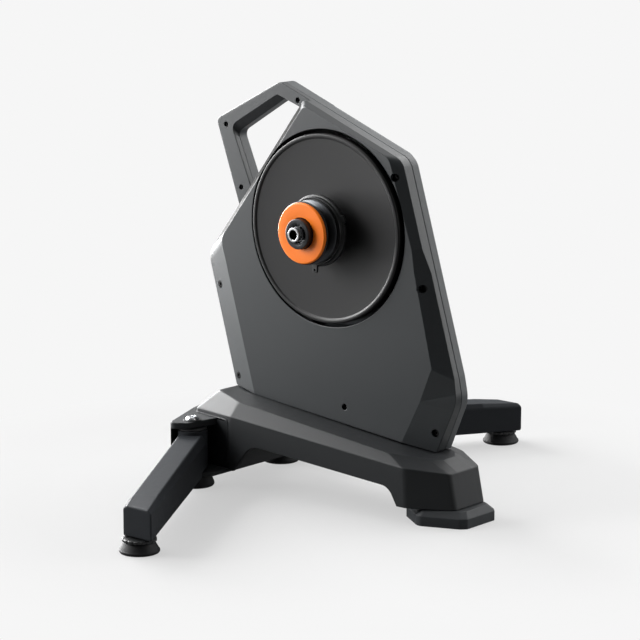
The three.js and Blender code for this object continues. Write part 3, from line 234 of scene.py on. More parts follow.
def dress(piece, body, material, stands=(), smooth=32, flat=False):
    mesh = piece.data
    mesh.name = piece.name
    mesh.polygons.foreach_set("use_smooth", [True] * len(mesh.polygons))
    mesh.set_sharp_from_angle(angle=math.radians(smooth))
    if flat:
        even = piece.modifiers.new("evenShade", "WEIGHTED_NORMAL")
        even.keep_sharp, even.weight = True, 50
    mesh.materials.clear()
    mesh.materials.append(material)
    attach(piece, body)
    if stands:
        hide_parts(*stands)
    return piece


def newGroup(name, inputs, outputs):
    group = bpy.data.node_groups.new(name, "ShaderNodeTree")
    for label, kind, value in inputs:
        socket = group.interface.new_socket(name=label, in_out="INPUT", socket_type=kind)
        if value is not None:
            socket.default_value = value
    for label, kind in outputs:
        group.interface.new_socket(name=label, in_out="OUTPUT", socket_type=kind)
    return group, group.nodes.new("NodeGroupInput"), group.nodes.new("NodeGroupOutput")


def mathNode(tree, operation, one, two=None):
    node = tree.nodes.new("ShaderNodeMath")
    node.operation = operation
    for socket, value in zip(node.inputs, (one, two)):
        if isinstance(value, (int, float)):
            socket.default_value = value
        elif value is not None:
            tree.links.new(value, socket)
    return node.outputs[0]


# Fine moulded or cast grain: two tones mixed by a wide noise, and a fine noise for bump and roughness.
def makeGrainGroup():
    group, start, end = newGroup(
        "surfaceGrain",
        [("Vector", "NodeSocketVector", None), ("Dark", "NodeSocketColor", (0, 0, 0, 1)),
            ("Light", "NodeSocketColor", (1, 1, 1, 1)),
         ("Roughness", "NodeSocketFloat", 0.5), ("Spread", "NodeSocketFloat", 0.08), ("Grain", "NodeSocketFloat",
             900.0), ("Depth", "NodeSocketFloat", 0.08)],
        [("Color", "NodeSocketColor"), ("Roughness", "NodeSocketFloat"), ("Normal", "NodeSocketVector")],
    )
    link = group.links.new
    wide, fine, mid = (group.nodes.new("ShaderNodeTexNoise") for _ in range(3))
    for noise, scale, detail in ((wide, 9.0, 3.0), (fine, 900.0, 2.0), (mid, 120.0, 4.0)):
        noise.inputs["Scale"].default_value, noise.inputs["Detail"].default_value = scale, detail
        link(start.outputs["Vector"], noise.inputs["Vector"])
    link(start.outputs["Grain"], fine.inputs["Scale"])
    blend = group.nodes.new("ShaderNodeMix")
    blend.data_type = "RGBA"
    tone = mathNode(group, "ADD", mathNode(group, "MULTIPLY", wide.outputs["Fac"], 0.6),
        mathNode(group, "MULTIPLY", fine.outputs["Fac"], 0.4))
    link(tone, blend.inputs["Factor"])
    link(start.outputs["Dark"], blend.inputs["A"])
    link(start.outputs["Light"], blend.inputs["B"])
    swing = mathNode(group, "MULTIPLY", mathNode(group, "SUBTRACT", mid.outputs["Fac"], 0.5), start.outputs["Spread"])
    bump = group.nodes.new("ShaderNodeBump")
    bump.inputs["Distance"].default_value = 0.0004
    link(start.outputs["Depth"], bump.inputs["Strength"])
    link(fine.outputs["Fac"], bump.inputs["Height"])
    link(blend.outputs["Result"], end.inputs["Color"])
    link(mathNode(group, "ADD", start.outputs["Roughness"], swing), end.inputs["Roughness"])
    link(bump.outputs["Normal"], end.inputs["Normal"])
    return group


# Marks of the lathe: noise that changes only with the distance from the turning axis.
def makeLatheGroup():
    group, start, end = newGroup(
        "latheMarks",
        [("Vector", "NodeSocketVector", None), ("Centre", "NodeSocketVector", (0, 0, 0)), ("Roughness", "NodeSocketFloat", 0.35),
         ("Spread", "NodeSocketFloat", 0.15), ("Pitch", "NodeSocketFloat", 2600.0), ("Depth", "NodeSocketFloat", 0.06)],
        [("Tone", "NodeSocketFloat"), ("Roughness", "NodeSocketFloat"), ("Normal", "NodeSocketVector")],
    )
    link = group.links.new
    offset = group.nodes.new("ShaderNodeVectorMath")
    offset.operation = "SUBTRACT"
    link(start.outputs["Vector"], offset.inputs[0])
    link(start.outputs["Centre"], offset.inputs[1])
    apart = group.nodes.new("ShaderNodeSeparateXYZ")
    link(offset.outputs[0], apart.inputs[0])
    radius = mathNode(group, "SQRT", mathNode(group, "ADD", mathNode(group, "MULTIPLY", apart.outputs["X"], apart.outputs["X"]),
                                              mathNode(group, "MULTIPLY", apart.outputs["Z"], apart.outputs["Z"])))
    place = group.nodes.new("ShaderNodeCombineXYZ")
    link(radius, place.inputs["X"])
    link(mathNode(group, "MULTIPLY", apart.outputs["Y"], 0.7), place.inputs["Y"])
    noise = group.nodes.new("ShaderNodeTexNoise")
    noise.inputs["Detail"].default_value = 2.0
    link(place.outputs[0], noise.inputs["Vector"])
    link(start.outputs["Pitch"], noise.inputs["Scale"])
    swing = mathNode(group, "MULTIPLY", mathNode(group, "SUBTRACT", noise.outputs["Fac"], 0.5), start.outputs["Spread"])
    bump = group.nodes.new("ShaderNodeBump")
    bump.inputs["Distance"].default_value = 0.0002
    link(start.outputs["Depth"], bump.inputs["Strength"])
    link(noise.outputs["Fac"], bump.inputs["Height"])
    link(noise.outputs["Fac"], end.inputs["Tone"])
    link(mathNode(group, "ADD", start.outputs["Roughness"], swing), end.inputs["Roughness"])
    link(bump.outputs["Normal"], end.inputs["Normal"])
    return group


grainGroup = makeGrainGroup()
latheGroup = makeLatheGroup()


def linear(rgb):
    c = np.asarray(rgb, float) / 255
    return (*np.where(c <= 0.04045, c / 12.92, ((c + 0.055) / 1.055) ** 2.4).tolist(), 1.0)


def newMaterial(name, metallic=0.0, coat=0.0, coatRoughness=0.3, specular=0.5):
    material = bpy.data.materials.new(name)
    material.use_nodes = True
    shader = material.node_tree.nodes["Principled BSDF"]
    shader.inputs["Metallic"].default_value = metallic
    shader.inputs["Coat Weight"].default_value = coat
    shader.inputs["Coat Roughness"].default_value = coatRoughness
    shader.inputs["Specular IOR Level"].default_value = specular
    where = material.node_tree.nodes.new("ShaderNodeTexCoord")
    return material, material.node_tree, shader, where


def grainMaterial(name, dark, light, roughness=0.5, spread=0.08, grain=900.0, depth=0.08, **more):
    material, tree, shader, where = newMaterial(name, **more)
    group = tree.nodes.new("ShaderNodeGroup")
    group.node_tree = grainGroup
    tree.links.new(where.outputs["Object"], group.inputs["Vector"])
    group.inputs["Dark"].default_value, group.inputs["Light"].default_value = linear(dark), linear(light)
    for label, value in (("Roughness", roughness), ("Spread", spread), ("Grain", grain), ("Depth", depth)):
        group.inputs[label].default_value = value
    tree.links.new(group.outputs["Color"], shader.inputs["Base Color"])
    tree.links.new(group.outputs["Roughness"], shader.inputs["Roughness"])
    tree.links.new(group.outputs["Normal"], shader.inputs["Normal"])
    return material


def latheMaterial(name, dark, light, centre=None, roughness=0.35, spread=0.15, pitch=2600.0, depth=0.06, **more):
    material, tree, shader, where = newMaterial(name, **more)
    group = tree.nodes.new("ShaderNodeGroup")
    group.node_tree = latheGroup
    tree.links.new(where.outputs["Object"], group.inputs["Vector"])
    group.inputs["Centre"].default_value = (originX / 1000, 0, axleZ / 1000) if centre is None else centre
    for label, value in (("Roughness", roughness), ("Spread", spread), ("Pitch", pitch), ("Depth", depth)):
        group.inputs[label].default_value = value
    ramp = tree.nodes.new("ShaderNodeMix")
    ramp.data_type = "RGBA"
    ramp.inputs["A"].default_value, ramp.inputs["B"].default_value = linear(dark), linear(light)
    tree.links.new(group.outputs["Tone"], ramp.inputs["Factor"])
    tree.links.new(ramp.outputs["Result"], shader.inputs["Base Color"])
    tree.links.new(group.outputs["Roughness"], shader.inputs["Roughness"])
    tree.links.new(group.outputs["Normal"], shader.inputs["Normal"])
    return material


finishes = {
    "shell": grainMaterial("shellPlastic", (44, 47, 49), (51, 54, 56), 0.42, 0.06, 1100, 0.10),
    "shell_far": grainMaterial("farShellPlastic", (72, 75, 77), (79, 82, 84), 0.5, 0.06, 1100, 0.10),
    "base": grainMaterial("baseCoat", (29, 31, 33), (36, 38, 40), 0.52, 0.08, 1500, 0.12, specular=0.3),
    "legs": grainMaterial("legCoat", (43, 45, 48), (49, 51, 54), 0.55, 0.08, 1500, 0.12, specular=0.06),
    "rubber": grainMaterial("footRubber", (14, 15, 17), (20, 21, 23), 0.62, 0.1, 700, 0.2, specular=0.3),
    "pad_rubber": grainMaterial("padRubber", (36, 39, 42), (44, 47, 50), 0.6, 0.1, 700, 0.2, specular=0.4),
    "disc": latheMaterial("discCoat", (24, 24, 25), (28, 28, 29), None, 0.42, 0.05, 900, 0.04, specular=0.36),
    "steel": latheMaterial("turnedSteel", (190, 192, 195), (225, 227, 230), None, 0.26, 0.12, 2600, 0.05, metallic=1.0),
    "dark_steel": latheMaterial("darkSteel", (70, 72, 75), (86, 88, 91), None, 0.38, 0.15, 2600, 0.06, metallic=0.9),
    "black_plastic": grainMaterial("blackPlastic", (24, 25, 26), (31, 32, 33), 0.42, 0.08, 1200, 0.08),
    "orange": grainMaterial("orangeCover", (255, 124, 26), (255, 134, 36), 0.4, 0.05, 1200, 0.05, specular=0.35),
    "cast_iron": grainMaterial("castIron", (46, 48, 50), (62, 64, 66), 0.55, 0.15, 500, 0.3, metallic=0.7),
    "copper": grainMaterial("coilLacquer", (120, 62, 28), (160, 92, 46), 0.35, 0.1, 800, 0.2, metallic=0.8),
    "board": grainMaterial("boardMask", (18, 70, 42), (24, 84, 52), 0.45, 0.1, 600, 0.1),
}
boltSteel = grainMaterial("boltSteel", (196, 198, 200), (226, 228, 230), 0.22, 0.08, 900, 0.05, metallic=1.0)
screwBlack = grainMaterial("screwBlack", (14, 14, 15), (20, 20, 21), 0.4, 0.1, 1200, 0.05, metallic=0.4)
# Near-black painted shade, laid on hollow walls that fall in shadow: the well round the disc, the disc's rim wall and
# the axle bore.
paintedShadeBlack = grainMaterial("paintedShadeBlack", (3, 3, 3), (8, 8, 8), 0.7, 0.1, 900, 0.05, specular=0.15)
for subpart in frame["record"]["subparts"]:
    nodes[subpart["node"]].data.materials.clear()
    nodes[subpart["node"]].data.materials.append(finishes[subpart["material_slot"]])
print("finishes made")

housing = {
    "length": 400, "height": 430, "seamY": 20, "nearDepth": 24, "farDepth": 18, "wall": 3.0,
    "farBevel": 5.8, "softEdge": 1.3, "seamChamfer": 0.6, "holeRadius": 122.95, "holeEdge": 1.0,
    # rim x, z, radius; face x, z, radius; bevel depth: shares of length, height, length and depth
    "corners": [
        (-0.5210, -0.1312, 0.065, -0.4412, -0.0728, 0.050, 0.50), (-0.1122, 0.3621, 0.022, -0.0938, 0.3467, 0.028, 0.40),
        (0.2800, 0.2175, 0.060, 0.2438, 0.2247, 0.050, 0.37), (0.3575, -0.0237, 0.004, 0.3350, -0.0298, 0.004, 0.37),
        (0.3800, -0.0935, 0.004, 0.3450, -0.0919, 0.004, 0.65), (0.4720, -0.3819, 0.110, 0.4138, -0.3563, 0.015, 0.62),
        (0.4875, -0.4505, 0.100, 0.3700, -0.4577, 0.040, 0.48), (0.4207, -0.6005, 0.008, 0.3000, -0.5860, 0.008, 0.33),
        (-0.4038, -0.5167, 0.008, -0.3000, -0.5279, 0.008, 0.50),
    ],
    "farTopFace": {1: (-0.0915, 0.3519), 2: (0.2578, 0.2233)},  # two face corners of the far half alone
}
cornerTable = np.array(housing["corners"])
sizeXZ = np.array([housing["length"], housing["height"]])
lift = np.array([0, axleZ])


def shares(points):
    return np.asarray(points, float)[..., :2] * sizeXZ + lift


# The body of one half: face outline, bevel down to the rim outline, straight wall to the seam.
def housingHalf(name, side, shrink, over):
    depth = housing["nearDepth"] if side < 0 else housing["farDepth"]
    bevel = cornerTable[:, 6] * depth if side < 0 else np.full(len(cornerTable), housing["farBevel"])
    faceShares = cornerTable[:, 3:5].copy()
    if side > 0:
        for corner, place in housing["farTopFace"].items():
            faceShares[corner] = place
    face, rim = inset(shares(faceShares), shrink), inset(shares(cornerTable[:, 0:2]), shrink)
    faceRadii, rimRadii = cornerTable[:, 5] * sizeXZ[0], cornerTable[:, 2] * sizeXZ[0]
    spread = housing["softEdge"] * 2.2

    def ring(outline, radii, depths):
        level = housing["seamY"] + side * np.broadcast_to(depths, len(outline))
        return rounded(np.stack([outline[:, 0], level, outline[:, 1]], 1), radii, 8)

    rings = [ring(inset(face, spread), np.maximum(faceRadii - spread, 0.6), depth - shrink),
        ring(face, faceRadii, depth - shrink),
             ring(rim, rimRadii, depth - bevel - shrink * 0.6)]
    if shrink:
        rings += [ring(rim, rimRadii, -over)]
        return loft(name, rings, [0, 0.5, 0.5, 0])
    chamfer = housing["seamChamfer"]
    rings += [ring(rim, rimRadii, chamfer), ring(inset(rim, chamfer), np.maximum(rimRadii - chamfer, 0.4), 0.0)]
    soft = housing["softEdge"]
    return loft(name, rings, [0, soft, soft, 0.3, 0])


handle = {
    "crestShare": 0.2890, "rootAlong": 0.145, "cornerShares": (-0.4941, 0.2752), "footShares": (-0.3745, -0.0353),
    "rootShares": (-0.05, 0.29), "outlineRadii": [1, 9, 14.6, 1, 1],
    "holeShares": [(-0.3188, 0.0228), (-0.4188, 0.2400), (-0.2138, 0.3563), (-0.0750, 0.3135)],
    "gripShares": [(-0.3188, 0.0228), (-0.4288, 0.2621), (-0.2375, 0.3656), (-0.0750, 0.3135)],
    "holeRadii": np.array([4, 11, 5, 4]), "nearDepth": 8, "farDepth": 17.5, "edge": 1.5, "seamEdge": 0.5,
    "gripEdge": 1.1, "farEdge": 3.6,
}


# The bar of one half with its hole. The near half's hole widens from the seam to its face,
# and the far half's has a broad chamfer at its far rim.
def handleBar(side):
    apex, right = shares(cornerTable[1, 0:2]), shares(cornerTable[2, 0:2])
    crest, join = apex - (right - apex) * handle["crestShare"], apex + (right - apex) * handle["rootAlong"]
    outline = [shares(handle["footShares"]), shares(handle["cornerShares"]), crest, join, shares(handle["rootShares"])]
    seam, hole, radii = housing["seamY"], shares(handle["holeShares"]), handle["holeRadii"]
    small, fine = handle["edge"], handle["seamEdge"]

    def ring(corners, grow, y):
        flat = rounded(inset(corners, -grow), radii + grow, 8)
        return np.insert(flat, 1, y, axis=1)

    if side < 0:
        face = seam - handle["nearDepth"]
        bar = prism("bar", outline, handle["outlineRadii"], face, seam, 1, (small, fine))
        wide, lip = shares(handle["gripShares"]), handle["gripEdge"]
        rings = [ring(wide, lip * 2, face - 0.02), ring(wide, 0, face - 0.02), ring(hole, 0, seam),
            ring(hole, fine * 2, seam + 0.02)]
        return combine(bar, [loft("grip", rings, [0, lip, fine, 0])])
    face, far = seam + handle["farDepth"], handle["farEdge"]
    bar = prism("bar", outline, handle["outlineRadii"], seam, face, 1, (fine, small))
    rings = [ring(hole, fine * 2, seam - 0.02), ring(hole, 0, seam), ring(hole, 0, face - far),
        ring(hole, far * 0.9, face + 0.02)]
    return combine(bar, [loft("grip", rings, [0, fine, 0.6, 0])])


# A round cutter along y whose mouth flares out at the open face, which leaves a rounded rim on the hole.
def flaredBore(name, radius, centre, mouth, end, edge, segments=96):
    side = 1 if end > mouth else -1
    turn = np.linspace(0, math.pi / 2, 5)
    lip = [[radius + edge * (1 - math.sin(a)), mouth + side * edge * (1 - math.cos(a)), 0] for a in turn]
    profile = [[0, mouth - side * 3, 0], [radius + edge, mouth - side * 3, 0], *lip, [radius, end, 0], [0, end, 0]]
    return turned(name, profile, (centre[0], 0, centre[1]), 1, segments, 1, closed=False)


screws = {
    "headShare": 0.86, "edge": 0.5,
    # x and z shares, pocket radius, how deep it goes, and the y of the face it is sunk in
    "places": [(0.0722, -0.5142, 4, 6, -4), (0.2645, 0.1702, 5, 11, -4), (0.4173, -0.5440, 5, 12, -4),
        (0.3663, -0.1361, 5, 12, -4),
               (-0.4640, -0.2170, 5, 12, -4), (-0.3880, -0.4850, 5, 12, -4), (-0.4511, 0.2615, 3.4, 5, 12), (-0.3882,
                   0.0796, 3.4, 5, 12),
               (-0.1514, 0.3543, 3.4, 5, 12)],
}

nearShell = combine(housingHalf("near_shell", -1, 0, 0), [handleBar(-1)], "UNION")
nearCuts = [flaredBore("well", housing["holeRadius"], (0, axleZ), -4, 19.5, housing["holeEdge"], 256),
    housingHalf("hollow", -1, housing["wall"], 2)]
for x, z, radius, deep, face in screws["places"]:
    nearCuts.append(flaredBore("pocket", radius, shares((x, z)), face, face + deep, screws["edge"], 32))
nearShell = combine(nearShell, nearCuts)
dress(nearShell, "frame", finishes["shell"], ["drive_side_shell"], 30, True)
# The wall of the well round the disc is painted near-black as shade.
lineFaces(nearShell, paintedShadeBlack, 100, housing["holeRadius"] + 0.15, -3.4)

for i, (x, z, radius, deep, face) in enumerate(screws["places"]):
    spot = shares((x, z))
    top, wide = face + deep - 2.6, radius * screws["headShare"]
    head = turned(f"shell_screw_{i + 1}", [(0, top + 1.4, 0), (1.5, top + 1.4, 0.1), (1.5, top, 0.2),
        (wide, top, 0.6), (wide, top + 2.4, 0.1),
                                           (0, top + 2.4, 0)], (spot[0], 0, spot[1]), 1, 32, 2)
    dress(head, "frame", screwBlack)

farBoss = {"radius": 58, "topRadius": 44, "height": 14, "bore": 20, "edge": 2.5}
farFace = housing["seamY"] + housing["farDepth"]
bossTop = farFace + farBoss["height"]
boss = turned("boss", [(0, farFace - 3, 0), (farBoss["radius"], farFace - 3, 0),
    (farBoss["radius"], farFace + 0.2, 0.1), (farBoss["topRadius"], bossTop, farBoss["edge"]), (0, bossTop,
    0)], (0, 0, axleZ), 1, 160)
bossHollow = turned("bossHollow", [(0, farFace - 5, 0), (55, farFace - 5, 0), (55, farFace - 3, 0.1),
    (41, bossTop - 3, 0.5), (0, bossTop - 3, 0)], (0, 0, axleZ), 1, 96)
inletSpot = shares((-0.26, -0.47))
farShell = combine(housingHalf("far_shell", 1, 0, 0), [handleBar(1), boss], "UNION")
farShell = combine(farShell, [housingHalf("farHollow", 1, housing["wall"], 2), bossHollow,
                              flaredBore("bossBore", farBoss["bore"], (0, axleZ), bossTop, farFace - 14, 1.0, 96),
                              flaredBore("inletBore", 7.4, inletSpot, farFace, farFace - 14, 0.4, 48)])
farShell.data.transform(Matrix.Translation((0, 0.0003, 0)))
dress(farShell, "frame", finishes["shell_far"], ["idle_side_shell"], 30, True)
print("housing made")

beam = {
    "length": 416, "rear": -200, "halfWidth": 59.5, "top": 95.2, "slope": -0.108, "floor": 20, "wall": 5,
    "foot": [(0.038, 0.37), (0.043, 0.81), (0.212, 1.00), (0.888, 0.98), (1.018, 0.48), (1.019, 0.24)],
    "shoulder": [(0.038, 0.37, 0.950), (0.043, 0.81, 0.945), (0.212, 1.00, 0.945), (0.882, 0.98, 0.725),
        (0.995, 0.48, 0.667), (0.996, 0.24, 0.664)],
    "topLine": [(0.096, 0.24), (0.096, 0.47), (0.216, 0.77), (0.803, 0.78), (0.911, 0.44), (0.938, 0.20)],
    "arch": [(0.197, 0.000, 1), (0.293, 0.600, 29), (0.8245, 0.445, 21), (0.8726, 0.000, 1)],
    "radii": [1, 9, 22, 14, 9, 2], "edge": 3.0, "archEdge": 2.0,
}


def mirrorRing(half):
    return np.concatenate([half, (half * [1, -1, 1])[::-1]])


def beamX(share):
    return beam["rear"] + np.asarray(share) * beam["length"]


def beamTop(x):
    return beam["top"] + beam["slope"] * x


# The cover: foot outline, shoulder outline and top outline, each with its own height.
def beamBody(name, shrink):
    def ring(table, height, extra=0.0, radii=None):
        table = np.asarray(table, float)
        x, y = beamX(table[:, 0]), table[:, 1] * beam["halfWidth"]
        half = np.stack([x, y, height(x, table)], 1)
        corners = inset(mirrorRing(half), shrink + extra)
        roundings = np.maximum(np.concatenate([beam["radii"], beam["radii"][::-1]]) - shrink - extra, 0.8)
        return rounded(corners, roundings, 6)

    low = beam["floor"] - (2 if shrink else 0)

    def lowHeight(x, table):
        return np.full(len(x), low)

    def topHeight(x, table):
        return beamTop(x) - shrink

    def shoulderHeight(x, table):
        return table[:, 2] * beam["top"] - shrink

    rings = [
        ring(beam["foot"], lowHeight, 4.0), ring(beam["foot"], lowHeight), ring(beam["shoulder"], shoulderHeight),
        ring(beam["topLine"], topHeight), ring(beam["topLine"], topHeight, 6.0),
    ]
    edge = 0.6 if shrink else beam["edge"]
    return loft(name, rings, [0, 0.6 if shrink else 1.2, edge, edge, 0])


rimOutline = shares(cornerTable[:, 0:2])
rimRadii = cornerTable[:, 2] * sizeXZ[0]
archCorners = np.array([(beamX(x), z * beam["top"] or 8, r) for x, z, r in beam["arch"]])
baseBeam = beamBody("beam_cover", 0)
hollow = beamBody("hollow", beam["wall"])
arch = prism("arch", archCorners[:, :2], archCorners[:, 2], -59.5, 59.5, 1, (beam["archEdge"], beam["archEdge"]), 10, flare=True)
seat = prism("seat", inset(rimOutline, -1.3), rimRadii + 1.3, -5.3, 39.3, 1, (0.6, 0.6))
rearBlock = block("rearBlock", (-211, -114, 0), (-116.7, 114, 84.3))
baseBeam = combine(baseBeam, [hollow, arch, seat, rearBlock])
dress(baseBeam, "frame", finishes["base"], ["base_beam"], 32, True)

# A fine bead follows the cover's lip where it stops over the crossmember.
lip = {"radius": 0.8, "points": [(-184.2, -24, 84.6), (-182.2, -48.0, 84.6), (-117, -58.7, 84.6), (-117, -58.9, 30)],
    "radii": [0, 8, 7, 0]}
for name, side in (("drive_cover_lip", 1), ("idle_cover_lip", -1)):
    line = rounded(np.array(lip["points"], float) * [1, side, 1], lip["radii"], 8, closed=False)
    dress(tube(name, line, lip["radius"]), "frame", finishes["base"])

pad = {
    "length": 94.5, "rear": 145.5, "halfWidth": 53.5, "height": 19.7, "bevel": 7, "bevelHeight": 7.5,
    "outline": [(0.0, 0.50), (0.41, 1.0), (0.935, 0.63), (1.0, 0.50)], "radii": [7, 12, 9, 4], "edge": 2.0,
}


def padRing(extra, height):
    half = np.array([(pad["rear"] + extra + a * (pad["length"] - 2 * extra), c * pad["halfWidth"] - extra,
        height) for a, c in pad["outline"]])
    roundings = np.maximum(np.concatenate([pad["radii"], pad["radii"][::-1]]) - extra * 0.5, 1)
    return rounded(mirrorRing(half), roundings, 6)


padShoulder = pad["height"] - pad["bevelHeight"]
padRings = [padRing(3, 0), padRing(0, 0), padRing(0, padShoulder), padRing(pad["bevel"], pad["height"]),
            padRing(pad["bevel"] + 4, pad["height"])]
frontPad = loft("front_foot_pad", padRings, [0, 0.8, pad["edge"], pad["edge"], 0])
dress(frontPad, "frame", finishes["pad_rubber"], ["front_pad"], 32, True)

cross = {
    "front": -117, "rear": -206, "bottom": 17, "top": 84, "plate": 8.5, "foot": 5, "core": 57, "web": 5.5, "halfSpan": 114,
    "footOutline": [(1.0, 0.30), (1.0, 0.76), (0.62, 1.0), (0.436, 1.0), (0.05, 0.27), (0.0, 0.12)],
    "topOutline": [(0.78, 0.20), (0.78, 0.40), (0.68, 0.87), (0.436, 1.0), (0.05, 0.27), (0.0, 0.12)],
    "radii": [1, 6, 7, 9, 10, 6], "edge": 1.6,
}


def crossOutline(table):
    table = np.asarray(table, float)
    half = np.stack([cross["rear"] + table[:, 0] * (cross["front"] - cross["rear"]), table[:, 1] * cross["halfSpan"]], 1)
    return np.concatenate([half, (half * [1, -1])[::-1]])


crossRadii = np.concatenate([cross["radii"], cross["radii"][::-1]])
footLine, topLine = crossOutline(cross["footOutline"]), crossOutline(cross["topOutline"])
hingePlace = {"x": -154, "y": 84, "sweep": 21.6}
slotLow, slotHigh = cross["bottom"] + cross["foot"], cross["top"] - cross["plate"]
crossPiece = prism("rear_yokes", footLine, crossRadii, cross["bottom"], slotLow, 2, (1.2, 1.2))
upper = prism("upper", topLine, crossRadii, slotHigh, cross["top"], 2, (cross["edge"], cross["edge"]))
core = prism("core", footLine, crossRadii, cross["bottom"] + 0.2, cross["top"] - 2, 2, (0.4, 0.4))
core = combine(core, [block("coreBox", (-300, -cross["core"], 0), (0, cross["core"], 200))], "INTERSECT")
webSolid = prism("web", footLine, crossRadii, cross["bottom"] + 0.1, cross["top"] - 1.8, 2, (0.4, 0.4))
webCut = prism("webCut", footLine + [cross["web"], 0], crossRadii, 0, 200, 2, (0.4, 0.4))
webSolid = combine(webSolid, [webCut, block("webFront", (hingePlace["x"] - 16, -200, 0), (0, 200, 200))])
crossPiece = combine(crossPiece, [upper, core, webSolid], "UNION")
crossCuts = []
for side in (-1, 1):
    centre = (hingePlace["x"], side * hingePlace["y"], 0)
    sweep = hingePlace["sweep"]
    crossCuts.append(turned("boreCut", [(0, 0, 0), (7.4, 0, 0), (7.4, 120, 0), (0, 120, 0)], centre, 2, 48, 1))
    crossCuts.append(turned("sweepCut", [(0, slotLow, 0), (sweep, slotLow, 0), (sweep, slotHigh, 0),
        (0, slotHigh, 0)], centre, 2, 72, 1))
crossPiece = combine(crossPiece, crossCuts)
dress(crossPiece, "frame", finishes["base"], ["rear_crossmember"], 32, True)

# Bolt heads, washers and rear feet for both yokes
boltLine = [(7, 17, 0.6), (7, 84.3, 0.1), (8.6, 84.9, 0.3), (8.5, 86.3, 0.8), (6.2, 88.9, 1.6), (4.2, 89.3, 0.5),
    (3.4, 88.9, 0.3), (3.4, 85.9, 0.1)]
rearFootLine = [(22.6, 0, 1.0), (24.1, 2.0, 1.0), (23.8, 4.4, 0.8), (19.6, 15.2, 1.2), (19, 16.7, 0.3)]
for label, side in (("drive", -1), ("idle", 1)):
    centre = (hingePlace["x"], side * hingePlace["y"], 0)
    bolt = turned(f"{label}_pivot_bolt", [(0, 17, 0), *boltLine, (0, 85.9, 0)], centre, 2, 64)
    dress(bolt, "frame", boltSteel, [f"{label}_hinge_bolt"], 40)
    seat = turned(f"{label}_bolt_seat", [(7.2, 84.05, 0.1), (11.4, 84.05, 0.1), (11.4, 84.8, 0.4), (7.2, 84.8, 0.1)],
        centre, 2, 64)
    dress(seat, "frame", screwBlack)
    for place, low in (("upper", slotHigh - 0.3 - 2.6), ("lower", slotLow + 0.3)):
        line = [(7.4, low, 0.2), (18, low, 0.7), (18, low + 2.6, 0.7), (7.4, low + 2.6, 0.2)]
        washer = turned(f"{label}_{place}_slip_washer", line, centre, 2, 72)
        dress(washer, "frame", finishes["black_plastic"], [f"{label}_{place}_washer"])
    rearFoot = turned(f"{label}_rear_rubber", [(0, 0, 0), *rearFootLine, (0, 16.7, 0)], (-151.1, side * 82.4, 0), 2, 72)
    dress(rearFoot, "frame", finishes["rubber"], [f"{label}_rear_foot"])
print("base made")

leg = {
    "reach": 311, "spread": 58.6, "halfWidth": 19.5, "topHalfWidth": 14.5, "bottom": 18.4, "endCut": 322,
    "stations": [0, 278.3, 342.9], "shoulders": [56.5, 53, 50.5], "tops": [68.4, 58.4,
        53.6], "edge": 4.5, "cornerRadii": [2.0, 2.0, 5.0, 3.5, 3.5, 5.0], "relief": 38.5,
}
eyeLow, eyeHigh = slotLow + 2.6 + 0.6, slotHigh - 2.6 - 0.6


# The drive side leg, drawn along +x from its hinge: six-sided sections at a few stations.
# The last one is slanted, so that the end face is square to the bike and not to the leg.
def legBody():
    slant = math.tan(math.radians(90 - leg["spread"]))
    stations = [(0, 0), (0, 0), (leg["stations"][1], 0), (leg["endCut"], slant), (leg["endCut"], slant)]
    rings = []
    for i, (s, lean) in enumerate(stations):
        top = np.interp(s, leg["stations"], leg["tops"])
        shoulder = np.interp(s, leg["stations"], leg["shoulders"])
        corners = np.array([(-leg["halfWidth"], leg["bottom"]), (leg["halfWidth"], leg["bottom"]), (leg["halfWidth"], shoulder),
                            (leg["topHalfWidth"], top), (-leg["topHalfWidth"], top), (-leg["halfWidth"], shoulder)])
        if i in (0, 4):
            corners = inset(corners, 6)
        flat = rounded(corners, np.array(leg["cornerRadii"]) if i not in (0, 4) else np.full(6, 0.6), 4)
        rings.append(np.stack([s + lean * flat[:, 0], flat[:, 0], flat[:, 1]], 1))
    return loft("bar", rings, [0, 0.5, 6, leg["edge"], 0], 5)


def placeLeg(piece):
    turn = math.radians(-leg["spread"])
    count = len(piece.data.vertices)
    co = np.empty(count * 3, np.float32)
    piece.data.vertices.foreach_get("co", co)
    co = co.reshape(-1, 3)
    local = co - np.array([originX / 1000, 0, 0])
    x = local[:, 0] * math.cos(turn) - local[:, 1] * math.sin(turn)
    y = local[:, 0] * math.sin(turn) + local[:, 1] * math.cos(turn)
    moved = np.stack([x + (originX + hingePlace["x"]) / 1000, y - hingePlace["y"] / 1000, local[:, 2]], 1)
    piece.data.vertices.foreach_set("co", moved.astype(np.float32).ravel())
    piece.data.update()
    return piece


driveLeg = legBody()
driveLeg.name = "drive_leg_bar"
driveLeg = combine(driveLeg, [block("above", (-60, -60, eyeHigh), (19, 60, 200)),
    block("below", (-60, -60, 0), (leg["relief"], 60, eyeLow))])
eye = turned("eye", [(0, eyeLow, 0), (19, eyeLow, 0.8), (19, eyeHigh, 0.8), (0, eyeHigh, 0)], (0, 0, 0), 2, 96)
driveLeg = combine(driveLeg, [eye], "UNION")
pinBore = turned("bore", [(0, 0, 0), (7.4, 0, 0), (7.4, 120, 0), (0, 120, 0)], (0, 0, 0), 2, 64, 1)
studBore = turned("stud", [(0, 0, 0), (5.4, 0, 0), (5.4, 32.7, 0), (0, 32.7, 0)], (leg["reach"], 0, 0), 2, 48, 1)
driveLeg = combine(driveLeg, [pinBore, studBore])
driveLeg = placeLeg(driveLeg)
idleLeg = mirrored(driveLeg, "idle_leg_bar")
dress(driveLeg, "drive_side_leg", finishes["legs"], ["drive_leg"], 32, True)
dress(idleLeg, "idle_side_leg", finishes["legs"], ["idle_leg"], 32, True)

foot = {"height": 13.4, "nut": 20.5, "nutHeight": 3.6, "grips": 16, "gripDepth": 1.0}
spread = math.radians(leg["spread"])
footX, footY = hingePlace["x"] + leg["reach"] * math.cos(spread), hingePlace["y"] + leg["reach"] * math.sin(spread)


